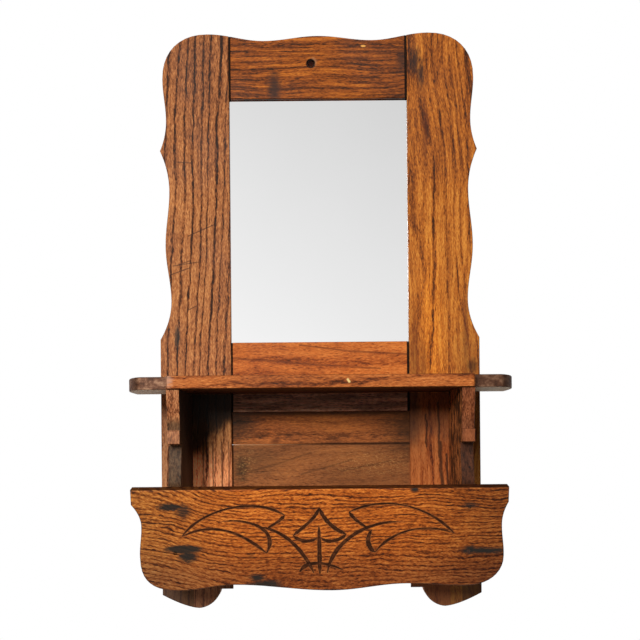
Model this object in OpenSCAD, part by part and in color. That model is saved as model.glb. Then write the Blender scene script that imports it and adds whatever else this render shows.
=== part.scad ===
// Wall mirror with a shelf and a letter pocket, in oak
// Millimetres, +Z up, +X to the right as seen from the front, front towards -Y
// Origin: on the wall plane and on the centre line, level with the hanging hole

/* [Frame] */
// Width of the opening between the stiles
opening_w = 178; // [150:0.5:240]
// Height of the mirror opening
opening_h = 243.6; // [180:0.1:330]
// Thickness of the frame's boards
frame_t = 19; // [18:0.5:24]
// Width of each stile at its straight part
stile_w = 70.6; // [66:0.1:90]
// Height of the top rail at its middle
top_rail_h = 62.7; // [50:0.5:90]
// Drop from the hanging hole's centre to the mirror opening
hole_drop = 34.9; // [22:0.1:40]
// Height of the middle rail
middle_rail_h = 69.6; // [62:0.1:90]
// Height of the opening behind the pocket
lower_opening_h = 118; // [90:0.5:150]
// Height of the bottom rail
bottom_rail_h = 52; // [40:0.5:70]
// Open joint between a rail's end and the stile
joint_gap = 1.5; // [0.3:0.1:2.5]

/* [Scrolled outline] */
// Rise of the frame's top lobes above the top rail's middle
lobe_rise = 2.5; // [0:0.1:6]
// Drop of the top edge's hollows below the top rail's middle
hollow_drop = 4.6; // [1:0.1:8]
// Distance of each hollow from the centre line
hollow_x = 54; // [40:0.5:62]
// Distance of each top lobe's crown from the stile's inner edge
lobe_in = 21.2; // [10:0.1:32]
// Height of the stile's upper round corner
corner_h = 44.5; // [30:0.5:50]
// Inset of the stile's upper bulge from its straight edge
bulge_inset = 4; // [2:0.1:8]
// Depth of the shallow waist above the point
waist_inset = 7.3; // [4:0.1:10]
// Inset of the sharp point
point_inset = 1; // [0:0.1:3]
// Depth of the waist below the point
deep_inset = 10; // [5:0.1:13]
// Inset of the middle bulge
middle_inset = 5.8; // [3:0.1:8]
// Depth of the waist above the shoulder
low_inset = 11.2; // [6:0.1:14]
// Depth of the feet below the frame's ledge
foot_drop = 19; // [8:0.5:30]
// Width of the round inner side of a foot
foot_round_w = 21.5; // [12:0.5:26]

/* [Hanging hole] */
// Diameter of the hanging hole
hole_d = 8.4; // [5:0.1:12]
// Distance of the hole from the centre line, to the left
hole_off = 7; // [0:0.5:20]

/* [Mirror] */
// Width of the rabbet round the openings
rabbet_w = 6.5; // [5:0.1:10]
// Thickness of the frame's lip in front of the rabbet
lip_t = 4; // [4:0.5:6]
// Thickness of the glass
glass_t = 3; // [2:0.1:3.5]
// Thickness of the board behind the glass
mirror_board_t = 6; // [4:0.1:7]

/* [Back boards] */
// Depth of the lower boards' back faces inside the rabbet
board_recess = 1; // [0.2:0.1:2]
// Height of the upper board's face that shows below the middle rail
upper_board_show = 32.3; // [20:0.1:60]
// Open seam between the boards at the left
seam_left = 0.4; // [0.1:0.1:2.5]
// Open seam between the boards at the right
seam_right = 0.1; // [0.1:0.1:2.5]

/* [Shelf] */
// Thickness of the shelf
shelf_t = 12; // [10:0.5:16]
// Height of the mirror opening's lower edge above the shelf
shelf_drop = 39; // [30:0.5:44]
// Depth of the shelf's middle part
shelf_d = 89; // [80:0.5:110]
// Depth of the shelf's ears
ear_d = 75; // [60:0.5:78]
// Reach of the ears past the straight edge of the frame
ear_reach = 23.2; // [10:0.5:40]
// Width of the ear's round corner
ear_round_w = 18; // [8:0.5:30]
// Depth of the ear's round corner
ear_round_d = 40; // [15:0.5:50]

/* [Pocket] */
// Thickness of the side boards
bracket_t = 12; // [10:0.5:15]
// Distance of each side board's outer face from the frame's straight edge
bracket_inset = 19.5; // [10:0.5:24]
// Depth of the pocket at its bottom
pocket_d = 58; // [50:0.5:66]
// Lean of the pocket front from the upright
front_lean = 12; // [8:0.5:14]
// Thickness of the pocket front
front_t = 12; // [9:0.5:15]
// Height of the pocket front, along its slope
front_h = 97.6; // [92:0.1:110]
// Overhang of the pocket front below the side boards, along its slope
front_hang = 4.5; // [0:0.1:9]
// Distance of the pocket front's middle from the centre line, to the left
front_off = 1.6; // [0:0.1:4]
// Thickness of the pocket floor
floor_t = 12; // [8:0.5:14]
// Height of the pocket's bottom above the lower edge of the bottom rail
pocket_raise = 9; // [4:0.5:14]

/* [Pocket front outline] */
// Half of the pocket front's width at its top corners
front_half = 171.2; // [166:0.1:185]
// Height of the straight ends below the top corners
front_end_h = 14; // [6:0.5:20]
// Depth of the hollow below the straight ends
front_neck_in = 6.9; // [3:0.1:9]
// Height of that hollow's deepest point below the top edge
front_neck_drop = 34; // [28:0.5:42]
// Inset of the widest point below the hollow
front_hip_in = 4.3; // [2:0.1:6]
// Width of the round lower corner on the left
left_corner_w = 36.5; // [24:0.5:42]
// Height of the round lower corner on the left
left_corner_h = 33; // [24:0.5:40]
// Width of the round lower corner on the right
right_corner_w = 34; // [24:0.5:42]
// Height of the round lower corner on the right
right_corner_h = 28.5; // [24:0.5:40]
// Rise of the left bottom lobe above the middle's lowest point
left_lobe_rise = 1; // [0:0.1:4]
// Rise of the right bottom lobe above the middle's lowest point
right_lobe_rise = 3.8; // [0:0.1:5]
// Rise of the hollows of the bottom edge
front_hollow_rise = 6.2; // [5:0.1:9]
// Distance of those hollows from the front's middle
front_hollow_x = 80; // [60:1:92]
// Shift of the scrolled ends below the top corners, to the right
front_body_off = 1.5; // [0:0.1:2]
// Distance of the bottom edge's lowest point from the front's middle, to the right
front_dip_off = 11; // [0:1:14]

/* [Ornament] */
// Width of the carved lines
carve_w = 2.2; // [1.2:0.1:3]
// Depth of the carved lines
carve_depth = 1.2; // [0.5:0.1:2]

/* [Fasteners] */
// Diameter of the dowels
dowel_d = 6; // [5:0.1:6.5]
// Length of the dowels
dowel_l = 34; // [24:0.5:40]
// Diameter of the wood screws
screw_d = 4; // [3:0.1:4.5]
// Length of the wood screws
screw_l = 38; // [32:0.5:45]
// Diameter of the nails
nail_d = 2.2; // [1.6:0.1:2.6]
// Length of the nails
nail_l = 34; // [25:0.5:38]
// Diameter of the wire brads
brad_d = 1.1; // [0.8:0.1:1.2]
// Length of the wire brads behind the mirror
brad_l = 13; // [11:0.5:16]
// Depth of the back boards' brads in the frame's lip
brad_hold = 3; // [2:0.1:3.5]

/* [Hidden] */

// Clearance of a board in its rabbet, and of a fastener in its hole
fit_gap = 0.3;
hole_gap = 0.05;
// Overshoot of a cut past the face it opens
over = 1;
// Facets of a curve, and steps of each stretch of an outline
$fn = 32;
STEPS = 10;

// Heights of the frame, from the hanging hole
crest_z = top_rail_h - hole_drop;
top_z = crest_z + lobe_rise;
sight_top = -hole_drop;
sight_bottom = sight_top - opening_h;
middle_bottom = sight_bottom - middle_rail_h;
lower_bottom = middle_bottom - lower_opening_h;
rail_bottom = lower_bottom - bottom_rail_h;
ledge_drop = 6.6;
ledge_z = rail_bottom - ledge_drop;
foot_z = ledge_z - foot_drop;

// Half widths of the frame
stile_in = opening_w / 2;
stile_out = stile_in + stile_w;
rail_half = stile_in - joint_gap;
lap_half = stile_in + rabbet_w - fit_gap;

// Depth of the rabbet, from the back, and thickness of the lower boards in it
rabbet_d = frame_t - lip_t;
board_t = rabbet_d - board_recess;

// Heights along the stile's scrolled edge
point_drop = 114;
waist_drop = 84;
deep_drop = 154;
low_rise = 38.4;
shoulder_rise = 3.5;
shoulder_z = sight_bottom + shoulder_rise;
low_z = shoulder_z + low_rise;
deep_z = crest_z - deep_drop;
ledge_w = 12.7;
foot_x = stile_in + ledge_w + foot_round_w;
foot_corner_rise = 13.3;

// Shelf and pocket
shelf_top = sight_bottom - shelf_drop;
shelf_bottom = shelf_top - shelf_t;
bracket_out = stile_out - bracket_inset;
bracket_in = bracket_out - bracket_t;
bracket_mid = (bracket_out + bracket_in) / 2;
pocket_bottom = rail_bottom + pocket_raise;
bracket_h = shelf_bottom - pocket_bottom;
front_top_v = front_h - front_hang;
front_top_z = pocket_bottom + front_top_v * cos(front_lean);

// Depth of the pocket front's back face at height z
function front_back_d(z) = pocket_d + (z - pocket_bottom) * tan(front_lean);

// Rounded start and end of a rise from 0 to 1
function ease(t) = (1 - cos(180 * t)) / 2;
// Stretches of an outline from a to b, without the point a itself: a wave that runs across,
// a wave that runs down, a sweep that starts flat and ends in a point, and its reverse
function wave_across(a, b) =
    [for (i = [1:STEPS]) let (t = i / STEPS) [a.x + (b.x - a.x) * t, a.y + (b.y - a.y) * ease(t)]];
function wave_down(a, b) =
    [for (i = [1:STEPS]) let (t = i / STEPS) [a.x + (b.x - a.x) * ease(t), a.y + (b.y - a.y) * t]];
function sweep_to_point(a, b, power = 2) =
    [for (i = [1:STEPS]) let (t = i / STEPS) [a.x + (b.x - a.x) * pow(t, power), a.y + (b.y - a.y) * t]];
function sweep_from_point(a, b) =
    [for (i = [1:STEPS]) let (t = i / STEPS) [b.x + (a.x - b.x) * pow(1 - t, 2), a.y + (b.y - a.y) * t]];
// Quarter of a rounded corner about c, from the angle a0 to a1; a fullness of 2 is an ellipse
function quarter(c, rx, ry, a0, a1, fullness = 2) =
    [for (i = [1:STEPS])
        let (a = a0 + (a1 - a0) * i / STEPS, u = cos(a), v = sin(a))
        [c.x + rx * sign(u) * pow(abs(u), 2 / fullness), c.y + ry * sign(v) * pow(abs(v), 2 / fullness)]];
// The outline on both sides of the centre line, from the half on the right
function both_sides(half) = concat(half, [for (i = [len(half) - 1:-1:0]) [-half[i].x, half[i].y]]);

// Right half of the frame's outline, clockwise from the middle of the top edge
hollow = [hollow_x, crest_z - hollow_drop];
lobe = [stile_in + lobe_in, top_z];
bulge = [stile_out - bulge_inset, top_z - corner_h];
waist = [stile_out - waist_inset, crest_z - waist_drop];
point = [stile_out - point_inset, crest_z - point_drop];
deep = [stile_out - deep_inset, deep_z];
middle = [stile_out - middle_inset, (deep_z + low_z) / 2];
low = [stile_out - low_inset, low_z];
frame_half = concat(
    [[0, crest_z]],
    wave_across([0, crest_z], hollow),
    wave_across(hollow, lobe),
    quarter([lobe.x, bulge.y], bulge.x - lobe.x, corner_h, 90, 0, 2.25),
    wave_down(bulge, waist),
    sweep_to_point(waist, point),
    sweep_from_point(point, deep),
    wave_down(deep, middle),
    wave_down(middle, low),
    sweep_to_point(low, [stile_out, shoulder_z]),
    [[stile_out, foot_z + foot_corner_rise]],
    [for (i = [1:STEPS])
        let (t = 1 - i / STEPS)
        [foot_x + (stile_out - foot_x) * t, foot_z + foot_corner_rise * pow(t, 1.5)]],
    quarter([foot_x, ledge_z], foot_round_w, foot_drop, -90, -180, 1.8),
    [[0, ledge_z]]);

// Places of the fasteners
dowel_inset = 16;
dowel_x = stile_in + rabbet_w;
dowel_y = -rabbet_d / 2;
brad_y = glass_t + mirror_board_t - rabbet_d + brad_d / 2 + hole_gap;
screw_z = (shelf_top + shelf_bottom) / 2;
rail_screw_x = 60;
stile_screw_x = stile_in + 26;
bracket_screw_end = 22;
bracket_screw_drops = [bracket_screw_end, bracket_h / 2, bracket_h - bracket_screw_end];
shelf_nail_ds = [30, 68];
front_nail_vs = [33, 75];
floor_nail_ds = [16, 42];
head_d = 2 * screw_d;
head_edge = 0.4;
head_h = screw_d / 2;
nail_head_d = 1.7 * nail_d;
nail_head_h = 0.4 * nail_d;

// A slab of the frame's outline between two half widths, two heights and two depths
module frame_slab(x0, x1, z0, z1, y0, y1) {
    intersection() {
        translate([0, y0, 0]) rotate([90, 0, 0]) linear_extrude(y0 - y1)
            polygon(both_sides(frame_half));
        translate([x0, y1 - over, z0]) cube([x1 - x0, y0 - y1 + 2 * over, z1 - z0]);
    }
}

// A rail: the face part between the stiles, and the lip that laps into their rabbets
module rail(z0, z1) {
    frame_slab(-rail_half, rail_half, z0, z1, -rabbet_d, -frame_t);
    frame_slab(-lap_half, lap_half, z0, z1, 0, -rabbet_d);
}

// Rabbet along a rail, cut from the back between z0 and z1
module rail_rabbet(z0, z1) {
    reach = stile_in + rabbet_w + over;
    translate([-reach, -rabbet_d, z0]) cube([2 * reach, rabbet_d + over, z1 - z0]);
}

// Dowels of one rail, at two heights on both sides; a gap above 0 gives their holes
module dowels(z0, z1, gap = 0) {
    for (side = [-1, 1], z = [z0 + dowel_inset, z1 - dowel_inset])
        translate([side * dowel_x, dowel_y, z]) rotate([0, 90, 0])
            cylinder(d = dowel_d + 2 * gap, h = dowel_l + 2 * gap, center = true);
}

// Wood screw along +Z with its head's face at 0; a gap above 0 gives its hole
module screw(gap = 0) {
    tip_h = 1.6 * screw_d;
    tip_d = 0.6;
    mouth = gap > 0 ? over : 0;
    translate([0, 0, -mouth]) cylinder(d = head_d + 2 * gap, h = head_edge + mouth + gap);
    translate([0, 0, head_edge])
        cylinder(d1 = head_d + 2 * gap, d2 = screw_d + 2 * gap, h = head_h + gap);
    cylinder(d = screw_d + 2 * gap, h = screw_l - tip_h);
    translate([0, 0, screw_l - tip_h])
        cylinder(d1 = screw_d + 2 * gap, d2 = gap > 0 ? screw_d + 2 * gap : tip_d, h = tip_h + gap);
}

module slotted_screw() {
    slot_w = 1.1;
    slot_depth = 1.2;
    difference() {
        screw();
        translate([-head_d, -slot_w / 2, -over]) cube([2 * head_d, slot_w, slot_depth + over]);
    }
}

// Nail along +Z with its head's face at 0; a gap above 0 gives its hole
module nail(gap = 0) {
    tip_h = 2 * nail_d;
    tip_d = 0.4;
    mouth = gap > 0 ? over : 0;
    translate([0, 0, -mouth]) cylinder(d = nail_head_d + 2 * gap, h = nail_head_h + mouth + gap);
    cylinder(d = nail_d + 2 * gap, h = nail_l - tip_h);
    translate([0, 0, nail_l - tip_h])
        cylinder(d1 = nail_d + 2 * gap, d2 = gap > 0 ? nail_d + 2 * gap : tip_d, h = tip_h + gap);
}

// Headless brads along +Z: the mirror's, and the longer ones of the lower boards
module brad(gap = 0) {
    cylinder(d = brad_d + 2 * gap, h = brad_l + gap);
}

module board_brad(gap = 0) {
    cylinder(d = brad_d + 2 * gap, h = board_t + brad_hold + gap);
}

// Screws through the frame into the shelf's back edge
module at_shelf_screws() {
    for (x = [-stile_screw_x, -rail_screw_x, rail_screw_x, stile_screw_x])
        translate([x, 0, screw_z]) rotate([90, 0, 0]) children();
}

// Screws through the stiles into the side boards' back edges
module at_bracket_screws() {
    for (side = [-1, 1], drop = bracket_screw_drops)
        translate([side * bracket_mid, 0, shelf_bottom - drop]) rotate([90, 0, 0]) children();
}

// Nails down through the shelf into the side boards
module at_shelf_nails() {
    for (side = [-1, 1], d = shelf_nail_ds)
        translate([side * bracket_mid, -frame_t - d, shelf_top]) rotate([180, 0, 0]) children();
}

// Nails through the pocket front into the side boards, square to the front's slope
module at_front_nails() {
    for (side = [-1, 1], v = front_nail_vs)
        on_front() translate([side * bracket_mid, -front_t, v]) rotate([-90, 0, 0]) children();
}

// Nails through the side boards into the ends of the pocket floor
module at_floor_nails() {
    for (side = [-1, 1], d = floor_nail_ds)
        translate([side * bracket_out, -frame_t - d, pocket_bottom + floor_t / 2])
            rotate([0, -side * 90, 0]) children();
}

// Brads into the frame that hold the board behind the glass, from inside the opening outwards
module at_mirror_brads() {
    lap = 5;
    end_inset = 30;
    for (side = [-1, 1],
         z = [sight_top - end_inset, (sight_top + sight_bottom) / 2, sight_bottom + end_inset])
        translate([side * (stile_in + rabbet_w - lap), brad_y, z])
            rotate([0, side * 90, 0]) children();
    translate([0, brad_y, sight_top + rabbet_w - lap]) children();
    translate([0, brad_y, sight_bottom - rabbet_w + lap]) rotate([180, 0, 0]) children();
}

// Brads through the lower boards' ends into the stiles, from the boards' back faces
board_back_y = -board_recess;
seam_z = middle_bottom - upper_board_show;
module at_board_brads() {
    inset = 9;
    brad_x = stile_in + rabbet_w / 2;
    for (side = [-1, 1],
         z = [middle_bottom - inset, seam_z + inset, seam_z - 2 * inset, lower_bottom + inset])
        translate([side * brad_x, board_back_y, z]) rotate([90, 0, 0]) children();
}

// Places a shape drawn upright at the pocket front's slope: its back face at Y = 0, and
// height 0 where the front meets the side boards' bottom
module on_front() {
    translate([0, -frame_t - pocket_d, pocket_bottom]) rotate([front_lean, 0, 0]) children();
}

// The left stile, with its rabbet and the holes of what it holds
module left_stile() {
    color([0.40, 0.20, 0.10]) mirror([1, 0, 0]) stile();
}

module right_stile() {
    color([0.55, 0.28, 0.10]) stile();
}

module stile() {
    difference() {
        frame_slab(stile_in, stile_out + over, foot_z - over, top_z + over, 0, -frame_t);
        translate([stile_in - over, -rabbet_d, ledge_z - over])
            cube([rabbet_w + over, rabbet_d + over, top_z - ledge_z + 2 * over]);
        dowels(sight_top, crest_z, hole_gap);
        dowels(middle_bottom, sight_bottom, hole_gap);
        dowels(rail_bottom, lower_bottom, hole_gap);
        at_shelf_screws() screw(hole_gap);
        at_bracket_screws() screw(hole_gap);
        at_mirror_brads() brad(hole_gap);
        at_board_brads() board_brad(hole_gap);
    }
}

// Top rail, with the hanging hole
module top_rail() {
    color([0.48, 0.24, 0.11]) difference() {
        rail(sight_top, top_z + over);
        rail_rabbet(sight_top - over, sight_top + rabbet_w);
        translate([-hole_off, over, 0]) rotate([90, 0, 0]) cylinder(d = hole_d, h = frame_t + 2 * over);
        dowels(sight_top, crest_z, hole_gap);
        at_mirror_brads() brad(hole_gap);
    }
}

// Middle rail, between the glass and the back boards
module middle_rail() {
    color([0.42, 0.17, 0.08]) difference() {
        rail(middle_bottom, sight_bottom);
        rail_rabbet(sight_bottom - rabbet_w, sight_bottom + over);
        rail_rabbet(middle_bottom - over, middle_bottom + rabbet_w);
        dowels(middle_bottom, sight_bottom, hole_gap);
        at_shelf_screws() screw(hole_gap);
        at_mirror_brads() brad(hole_gap);
    }
}

// Bottom rail, behind the pocket
module bottom_rail() {
    color([0.38, 0.18, 0.09]) difference() {
        rail(rail_bottom, lower_bottom);
        rail_rabbet(lower_bottom - rabbet_w, lower_bottom + over);
        dowels(rail_bottom, lower_bottom, hole_gap);
    }
}

module top_rail_dowels() {
    color([0.75, 0.58, 0.38]) dowels(sight_top, crest_z);
}

module middle_rail_dowels() {
    color([0.75, 0.58, 0.38]) dowels(middle_bottom, sight_bottom);
}

module bottom_rail_dowels() {
    color([0.75, 0.58, 0.38]) dowels(rail_bottom, lower_bottom);
}

// A panel that fills the mirror's rabbet between two depths
module rabbet_panel(y0, y1) {
    z0 = sight_bottom - rabbet_w + fit_gap;
    z1 = sight_top + rabbet_w - fit_gap;
    translate([-lap_half, y1, z0]) cube([2 * lap_half, y0 - y1, z1 - z0]);
}

module mirror_glass() {
    color([0.85, 0.87, 0.89]) rabbet_panel(glass_t - rabbet_d, -rabbet_d);
}

module mirror_back_board() {
    color([0.45, 0.33, 0.22])
        rabbet_panel(glass_t + mirror_board_t - rabbet_d, glass_t - rabbet_d);
}

module mirror_board_brads() {
    color([0.30, 0.27, 0.25]) at_mirror_brads() brad();
}

// A lower board in the rabbets: its bottom edge, and its top edge at the left and at the right
module back_board(bottom, top_left, top_right) {
    difference() {
        translate([0, board_back_y, 0]) rotate([90, 0, 0]) linear_extrude(board_t)
            polygon([[-lap_half, bottom], [lap_half, bottom], [lap_half, top_right], [-lap_half, top_left]]);
        at_board_brads() board_brad(hole_gap);
    }
}

module upper_back_board() {
    top = middle_bottom + rabbet_w - fit_gap;
    color([0.36, 0.16, 0.08]) back_board(seam_z, top, top);
}

module lower_back_board() {
    bottom = lower_bottom - rabbet_w + fit_gap;
    color([0.33, 0.16, 0.08]) back_board(bottom, seam_z - seam_left, seam_z - seam_right);
}

module back_board_brads() {
    color([0.30, 0.27, 0.25]) at_board_brads() board_brad();
}

// Shelf with a stepped front edge and rounded ears
module shelf() {
    ear_half = stile_out + ear_reach;
    nose = 3;
    half = concat(
        [[0, 0], [ear_half, 0], [ear_half, ear_round_d - ear_d]],
        quarter([ear_half - ear_round_w, ear_round_d - ear_d], ear_round_w, ear_round_d, 0, -90, 1.7),
        [[bracket_out, -ear_d], [bracket_out, nose - shelf_d]],
        quarter([bracket_out - nose, nose - shelf_d], nose, nose, 0, -90),
        [[0, -shelf_d]]);
    color([0.45, 0.20, 0.09]) difference() {
        translate([0, -frame_t, shelf_bottom]) linear_extrude(shelf_t) polygon(both_sides(half));
        at_shelf_screws() screw(hole_gap);
        at_shelf_nails() nail(hole_gap);
    }
}

// Side board of the pocket, drawn in its own plane: forward from the frame, and up. Its front
// edge curves in below the shelf, steps out to a square fillet, and is cut back below it
module bracket_outline() {
    shelf_setback = 3;
    throat_out = 2.6;
    fillet_drop = 37.8;
    fillet_h = 12;
    fillet_out = 3.4;
    notch_in = 8.4;
    mouth_d = front_back_d(front_top_z);
    top = [shelf_d - shelf_setback, shelf_bottom];
    throat = [mouth_d + throat_out, shelf_bottom - fillet_drop];
    notch = [throat.x - notch_in, throat.y - fillet_h];
    polygon(concat(
        [[0, pocket_bottom], [0, shelf_bottom], top],
        wave_down(top, throat),
        [[throat.x + fillet_out, throat.y], [throat.x + fillet_out, notch.y], notch],
        wave_down(notch, [mouth_d, front_top_z]),
        [[pocket_d, pocket_bottom]]));
}

module bracket(side) {
    difference() {
        translate([side < 0 ? -bracket_in : bracket_out, -frame_t, 0])
            rotate([90, 0, -90]) linear_extrude(bracket_t) bracket_outline();
        at_bracket_screws() screw(hole_gap);
        at_shelf_nails() nail(hole_gap);
        at_front_nails() nail(hole_gap);
        at_floor_nails() nail(hole_gap);
    }
}

module left_bracket() {
    color([0.30, 0.15, 0.09]) bracket(-1);
}

module right_bracket() {
    color([0.36, 0.18, 0.09]) bracket(1);
}

// One side of the pocket front's scrolled outline, from the top corner to the lowest point of
// the bottom edge: 1 for the right side and -1 for the left, the width, height and fullness of
// the round corner, and the lobe's rise
function front_side(side, corner_w, corner_h, fullness, lobe_rise) = let (
    end = [front_half, front_top_v - front_end_h],
    body = front_half + side * front_body_off,
    neck = [body - front_neck_in, front_top_v - front_neck_drop],
    lobe_v = lobe_rise - front_hang,
    hip = [body - front_hip_in, lobe_v + corner_h],
    hollow = [front_hollow_x, front_hollow_rise - front_hang])
    concat(
        [[front_half, front_top_v], end],
        sweep_from_point(end, neck),
        wave_down(neck, hip),
        quarter([hip.x - corner_w, hip.y], corner_w, corner_h, 0, -90, fullness),
        wave_across([hip.x - corner_w, lobe_v], hollow),
        wave_across(hollow, [side * front_dip_off, -front_hang]));

module front_plate() {
    right = front_side(1, right_corner_w, right_corner_h, 2.15, right_lobe_rise);
    left = front_side(-1, left_corner_w, left_corner_h, 2.75, left_lobe_rise);
    mirrored_left = [for (i = [len(left) - 1:-1:0]) [-left[i].x, left[i].y]];
    translate([-front_off, 0, 0]) rotate([90, 0, 0]) linear_extrude(front_t)
        polygon(concat(right, mirrored_left));
}

// The incised leaves and the spade between them: each stroke is a curve through four guide
// points, in the pocket front's own plane, from its middle and its lower seat
leaf_strokes = [
    [[-126, 49], [-107, 75], [-59, 87], [-32, 68.5]],
    [[-32, 68.5], [-36, 63], [-42, 60], [-47.5, 56.5]],
    [[-91, 62.5], [-73, 67], [-35, 59], [-49, 32.5]],
    [[-126, 49], [-97, 64], [-72, 53], [-49, 32.5]],
    [[-54.5, 57.5], [-31, 54], [-15, 34], [-6, 13]],
    [[-19, 14], [-12, 28], [10.5, 21.5], [21, 15.5]],
    [[-0.5, 75.5], [-4.5, 63.5], [-16, 57], [-24.5, 49]],
    [[-24.5, 49], [-18.5, 43], [-8.5, 41.5], [-2, 47.5]],
    [[-0.5, 75.5], [3, 63.5], [13, 54.5], [24, 50]],
    [[24, 50], [19, 44.5], [7, 40.5], [1, 46.5]],
    [[-1, 59], [-0.7, 43], [-0.7, 28], [-0.5, 12]],
    [[6.5, 13], [11, 45], [47, 65], [77, 61]],
    [[26.5, 71], [59.5, 87.5], [98, 76.5], [122.5, 50]],
    [[26.5, 71], [30.5, 64.5], [36.5, 60], [42.5, 56.5]],
    [[47.5, 54.5], [42.5, 47], [42, 38.5], [50, 32.5]],
    [[50, 32.5], [67, 55], [97.5, 60.5], [122.5, 50]]];

// Share of a stroke's width that is left at its ends
stroke_end = 0.35;
// Point of a stroke at t from 0 to 1, its direction, and its width, which tapers at both ends
function along(p, t) =
    pow(1 - t, 3) * p[0] + 3 * t * pow(1 - t, 2) * p[1] + 3 * t * t * (1 - t) * p[2] + pow(t, 3) * p[3];
function heading(p, t) = let (h = 0.01, d = along(p, t + h) - along(p, t - h)) d / norm(d);
function stroke_width(t) = carve_w * (stroke_end + (1 - stroke_end) * sin(180 * t));
function stroke_side(p, side, t) =
    let (d = heading(p, t)) along(p, t) + side * stroke_width(t) / 2 * [-d.y, d.x];

module carved_stroke(p) {
    rotate([90, 0, 0]) linear_extrude(carve_depth + over) polygon(concat(
        [for (i = [0:STEPS]) stroke_side(p, 1, i / STEPS)],
        [for (i = [STEPS:-1:0]) stroke_side(p, -1, i / STEPS)]));
}

module pocket_front() {
    color([0.62, 0.30, 0.10]) difference() {
        on_front() front_plate();
        on_front() translate([-front_off, carve_depth - front_t, 0])
            for (p = leaf_strokes) carved_stroke(p);
        at_front_nails() nail(hole_gap);
    }
}

// Pocket floor, bevelled to the front's slope
module pocket_floor() {
    floor_top = pocket_bottom + floor_t;
    half = bracket_in - hole_gap;
    color([0.34, 0.17, 0.09]) difference() {
        translate([half, -frame_t, 0]) rotate([90, 0, -90]) linear_extrude(2 * half) polygon([
            [0, pocket_bottom], [0, floor_top],
            [front_back_d(floor_top) - hole_gap, floor_top],
            [front_back_d(pocket_bottom) - hole_gap, pocket_bottom]]);
        at_floor_nails() nail(hole_gap);
    }
}

module shelf_screws() {
    color([0.35, 0.32, 0.28]) at_shelf_screws() slotted_screw();
}

module shelf_nails() {
    color([0.22, 0.19, 0.17]) at_shelf_nails() nail();
}

module bracket_screws() {
    color([0.35, 0.32, 0.28]) at_bracket_screws() slotted_screw();
}

module pocket_front_nails() {
    color([0.22, 0.19, 0.17]) at_front_nails() nail();
}

module pocket_floor_nails() {
    color([0.22, 0.19, 0.17]) at_floor_nails() nail();
}

left_stile();
right_stile();
top_rail();
middle_rail();
bottom_rail();
top_rail_dowels();
middle_rail_dowels();
bottom_rail_dowels();
mirror_glass();
mirror_back_board();
mirror_board_brads();
upper_back_board();
lower_back_board();
back_board_brads();
shelf();
left_bracket();
right_bracket();
pocket_front();
pocket_floor();
shelf_screws();
shelf_nails();
bracket_screws();
pocket_front_nails();
pocket_floor_nails();
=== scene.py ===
# %% [markdown]
# # An old oak wall mirror with a shelf and a letter pocket
# The piece is a flat oak frame with a looking glass, a narrow shelf and a pocket whose slanted front
# has incised leaves. The boards already exist at their real size, so this lesson gives them what a
# drawing lacks: worn arrises, cut grooves, oak grain with its dark pores, old shellac, and iron stains.
# Lengths below are written in millimetres and turned into metres with MM.

from math import cos, pi, radians, sin

import bmesh
import bpy
from mathutils import Matrix, Vector


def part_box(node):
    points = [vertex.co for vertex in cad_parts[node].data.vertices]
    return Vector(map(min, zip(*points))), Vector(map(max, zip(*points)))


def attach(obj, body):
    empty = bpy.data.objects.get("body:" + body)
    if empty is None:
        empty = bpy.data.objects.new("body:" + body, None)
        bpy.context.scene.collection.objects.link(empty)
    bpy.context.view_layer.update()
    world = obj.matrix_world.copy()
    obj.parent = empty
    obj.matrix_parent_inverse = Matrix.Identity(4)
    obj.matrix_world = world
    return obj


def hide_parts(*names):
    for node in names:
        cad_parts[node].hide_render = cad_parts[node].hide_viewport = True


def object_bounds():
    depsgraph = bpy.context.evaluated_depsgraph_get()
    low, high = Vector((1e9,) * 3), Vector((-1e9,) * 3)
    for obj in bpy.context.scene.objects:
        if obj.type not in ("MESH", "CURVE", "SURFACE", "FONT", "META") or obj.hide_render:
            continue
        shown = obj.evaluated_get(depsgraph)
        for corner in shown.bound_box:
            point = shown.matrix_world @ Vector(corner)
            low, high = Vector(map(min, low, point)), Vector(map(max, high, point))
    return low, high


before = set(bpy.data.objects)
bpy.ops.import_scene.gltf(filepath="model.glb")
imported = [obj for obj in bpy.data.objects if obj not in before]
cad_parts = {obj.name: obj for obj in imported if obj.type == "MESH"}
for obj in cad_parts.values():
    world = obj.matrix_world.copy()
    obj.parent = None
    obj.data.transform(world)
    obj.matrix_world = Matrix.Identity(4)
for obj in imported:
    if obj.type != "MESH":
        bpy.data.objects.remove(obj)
cad_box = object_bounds()
MM = 0.001
scene = bpy.context.scene
print("boards and fasteners:", len(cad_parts))

# %% [markdown]
# ## Where everything is
# The frame's front face, the glass and the pocket front are where the packed model has them. The few
# places that the finish needs are read from the nodes' boxes, so they follow a change of size.

# %% Places
LEFT_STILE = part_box("left_stile")
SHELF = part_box("shelf")
POCKET_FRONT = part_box("pocket_front")
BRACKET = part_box("right_bracket")
MIDDLE = (cad_box[0] + cad_box[1]) / 2
FACE_Y = LEFT_STILE[0].y
FRONT_LEAN = radians(12)
FRONT_THICKNESS = 12 * MM
# The slope's origin: on the plate's back face, where it meets the side boards' lower ends
FRONT_FOOT = Vector(((POCKET_FRONT[0].x + POCKET_FRONT[1].x) / 2, FACE_Y - 58 * MM, BRACKET[0].z))
UP_THE_FRONT = Vector((0, -sin(FRONT_LEAN), cos(FRONT_LEAN)))
OUT_OF_FRONT = Vector((0, -cos(FRONT_LEAN), -sin(FRONT_LEAN)))
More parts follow.
